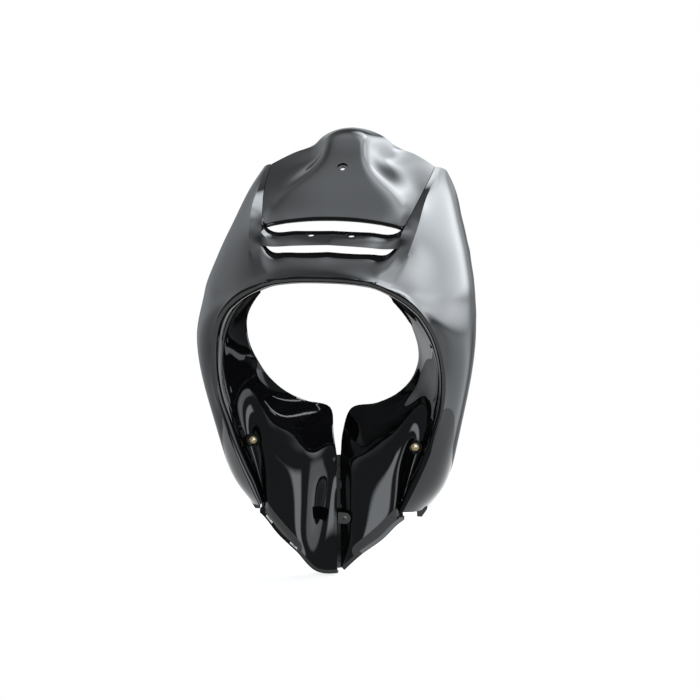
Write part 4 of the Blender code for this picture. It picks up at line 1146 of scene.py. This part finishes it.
# Studio: a dark room with soft light panels on its walls, which the gloss mirrors; the camera sees white.
# Each panel: its turn (0 is the front, positive to the right) and rise, half width and half height in
# degrees, how soft its edge is, and its brightness.
room = {
    "dark": 0.22,              # brightness in front of the panel
    "backdrop": 0.3,           # and behind it
    "border": (-0.12, 0.1),    # where one passes into the other, front to back
    "diffuseShare": 0.4,       # of the studio's light that lights matt surfaces
    "tint": "#f4faff",
    "panels": {
        "overhead": (0, 90, 22, 22, 0.6, 2.2),
        "highRight": (110, 72, 18, 12, 0.6, 4.5),
        "rightKey": (122, 33, 29, 25, 0.5, 7.2),
        "rightHigh": (90, 45, 16, 16, 0.6, 5.0),
        "rightLow": (110, -22, 32, 26, 0.6, 2.2),
        "behindHigh": (160, 54, 13, 11, 0.6, 6.0),
        "behindRight": (150, 8, 16, 12, 0.6, 0.6),
        "leftHigh": (-105, 45, 26, 26, 0.6, 0.6),
        "leftBack": (-120, 0, 26, 26, 0.6, 0.4),
        "behind": (180, 14, 24, 10, 0.5, 0.5),
        "front": (16, 4, 15, 18, 0.35, 3.6),
        "lowRight": (70, -2, 9, 26, 0.4, 1.8),
    },
}

world = bpy.data.worlds.new("studio")
bpy.context.scene.world = world
world.use_nodes = True
world.node_tree.nodes.clear()
add = nodesOf(world.node_tree)
way = add("ShaderNodeTexCoord").outputs["Generated"]


def lightPanel(turn, rise, halfWide, halfHigh, softness, strength):
    # brightness of one panel for the direction looked in
    a, e = math.radians(turn), math.radians(rise)
    out = Vector((math.sin(a) * math.cos(e), -math.cos(a) * math.cos(e), math.sin(e)))
    side = Vector((math.cos(a), math.sin(a), 0.0))
    ahead, beside, above = [
        add("ShaderNodeVectorMath", {"operation": "DOT_PRODUCT"}, {0: way, 1: axis}).outputs[1]
        for axis in (out, side, out.cross(side))]
    # nothing of it shows on the opposite side
    lit = add("ShaderNodeMath", {"operation": "GREATER_THAN"}, {0: ahead, 1: 0.05}).outputs[0]
    for across, half in ((beside, halfWide), (above, halfHigh)):
        slope = add("ShaderNodeMath", {"operation": "DIVIDE"}, {0: across, 1: ahead}).outputs[0]
        offset = add("ShaderNodeMath", {"operation": "ABSOLUTE"}, {0: slope}).outputs[0]
        reach = math.tan(math.radians(half))
        window = add("ShaderNodeMapRange", {"interpolation_type": "SMOOTHSTEP"}, {
            "Value": offset, "From Min": reach * (1 - softness), "From Max": reach * (1 + softness),
            "To Min": 1.0, "To Max": 0.0}).outputs[0]
        lit = add("ShaderNodeMath", {"operation": "MULTIPLY"}, {0: lit, 1: window}).outputs[0]
    return add("ShaderNodeMath", {"operation": "MULTIPLY"}, {0: lit, 1: strength}).outputs[0]


depth = add("ShaderNodeSeparateXYZ", None, {0: way}).outputs["Y"]
total = add("ShaderNodeMapRange", {"interpolation_type": "SMOOTHSTEP"}, {
    "Value": depth, "From Min": room["border"][0], "From Max": room["border"][1],
    "To Min": room["dark"], "To Max": room["backdrop"]}).outputs[0]
for panel in room["panels"].values():
    shine = lightPanel(*panel)
    total = add("ShaderNodeMath", {"operation": "ADD"}, {0: total, 1: shine}).outputs[0]
rays = add("ShaderNodeLightPath").outputs
dimming = add("ShaderNodeMapRange", None, {
    "Value": rays["Is Diffuse Ray"], "To Min": 1.0, "To Max": room["diffuseShare"]}).outputs[0]
level = add("ShaderNodeMath", {"operation": "MULTIPLY"}, {0: total, 1: dimming}).outputs[0]
studio = add("ShaderNodeBackground", None, {"Color": linear(room["tint"]), "Strength": level})
white = add("ShaderNodeBackground", None, {"Color": (1.0, 1.0, 1.0, 1.0), "Strength": 1.0})
direct = add("ShaderNodeMath", {"operation": "MAXIMUM"}, {
    0: rays["Is Camera Ray"], 1: rays["Is Transmission Ray"]}).outputs[0]
both = add("ShaderNodeMixShader", None, {0: direct, 1: studio.outputs[0], 2: white.outputs[0]})
add("ShaderNodeOutputWorld", None, {"Surface": both.outputs[0]})

# Camera: a little to the viewer's right and a little above, in degrees, metres and millimetres of lens
view = {"azimuth": 10.2, "elevation": 11.0, "distance": 2.1, "lens": 88.0, "sensor": 36.0,
        "target": (0.0, 0.07581, -0.01518)}
turn, tilt = math.radians(view["azimuth"]), math.radians(view["elevation"])
ahead = Vector((-math.sin(turn) * math.cos(tilt), math.cos(turn) * math.cos(tilt), -math.sin(tilt)))
camera = bpy.data.objects.new("camera", bpy.data.cameras.new("camera"))
camera.data.lens = view["lens"]
camera.data.sensor_width = view["sensor"]
camera.location = Vector(view["target"]) - ahead * view["distance"]
camera.rotation_euler = ahead.to_track_quat("-Z", "Y").to_euler()
bpy.context.scene.collection.objects.link(camera)
bpy.context.scene.camera = camera
bpy.context.scene.view_settings.view_transform = "Standard"

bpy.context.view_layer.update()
stageDone("scene ready")
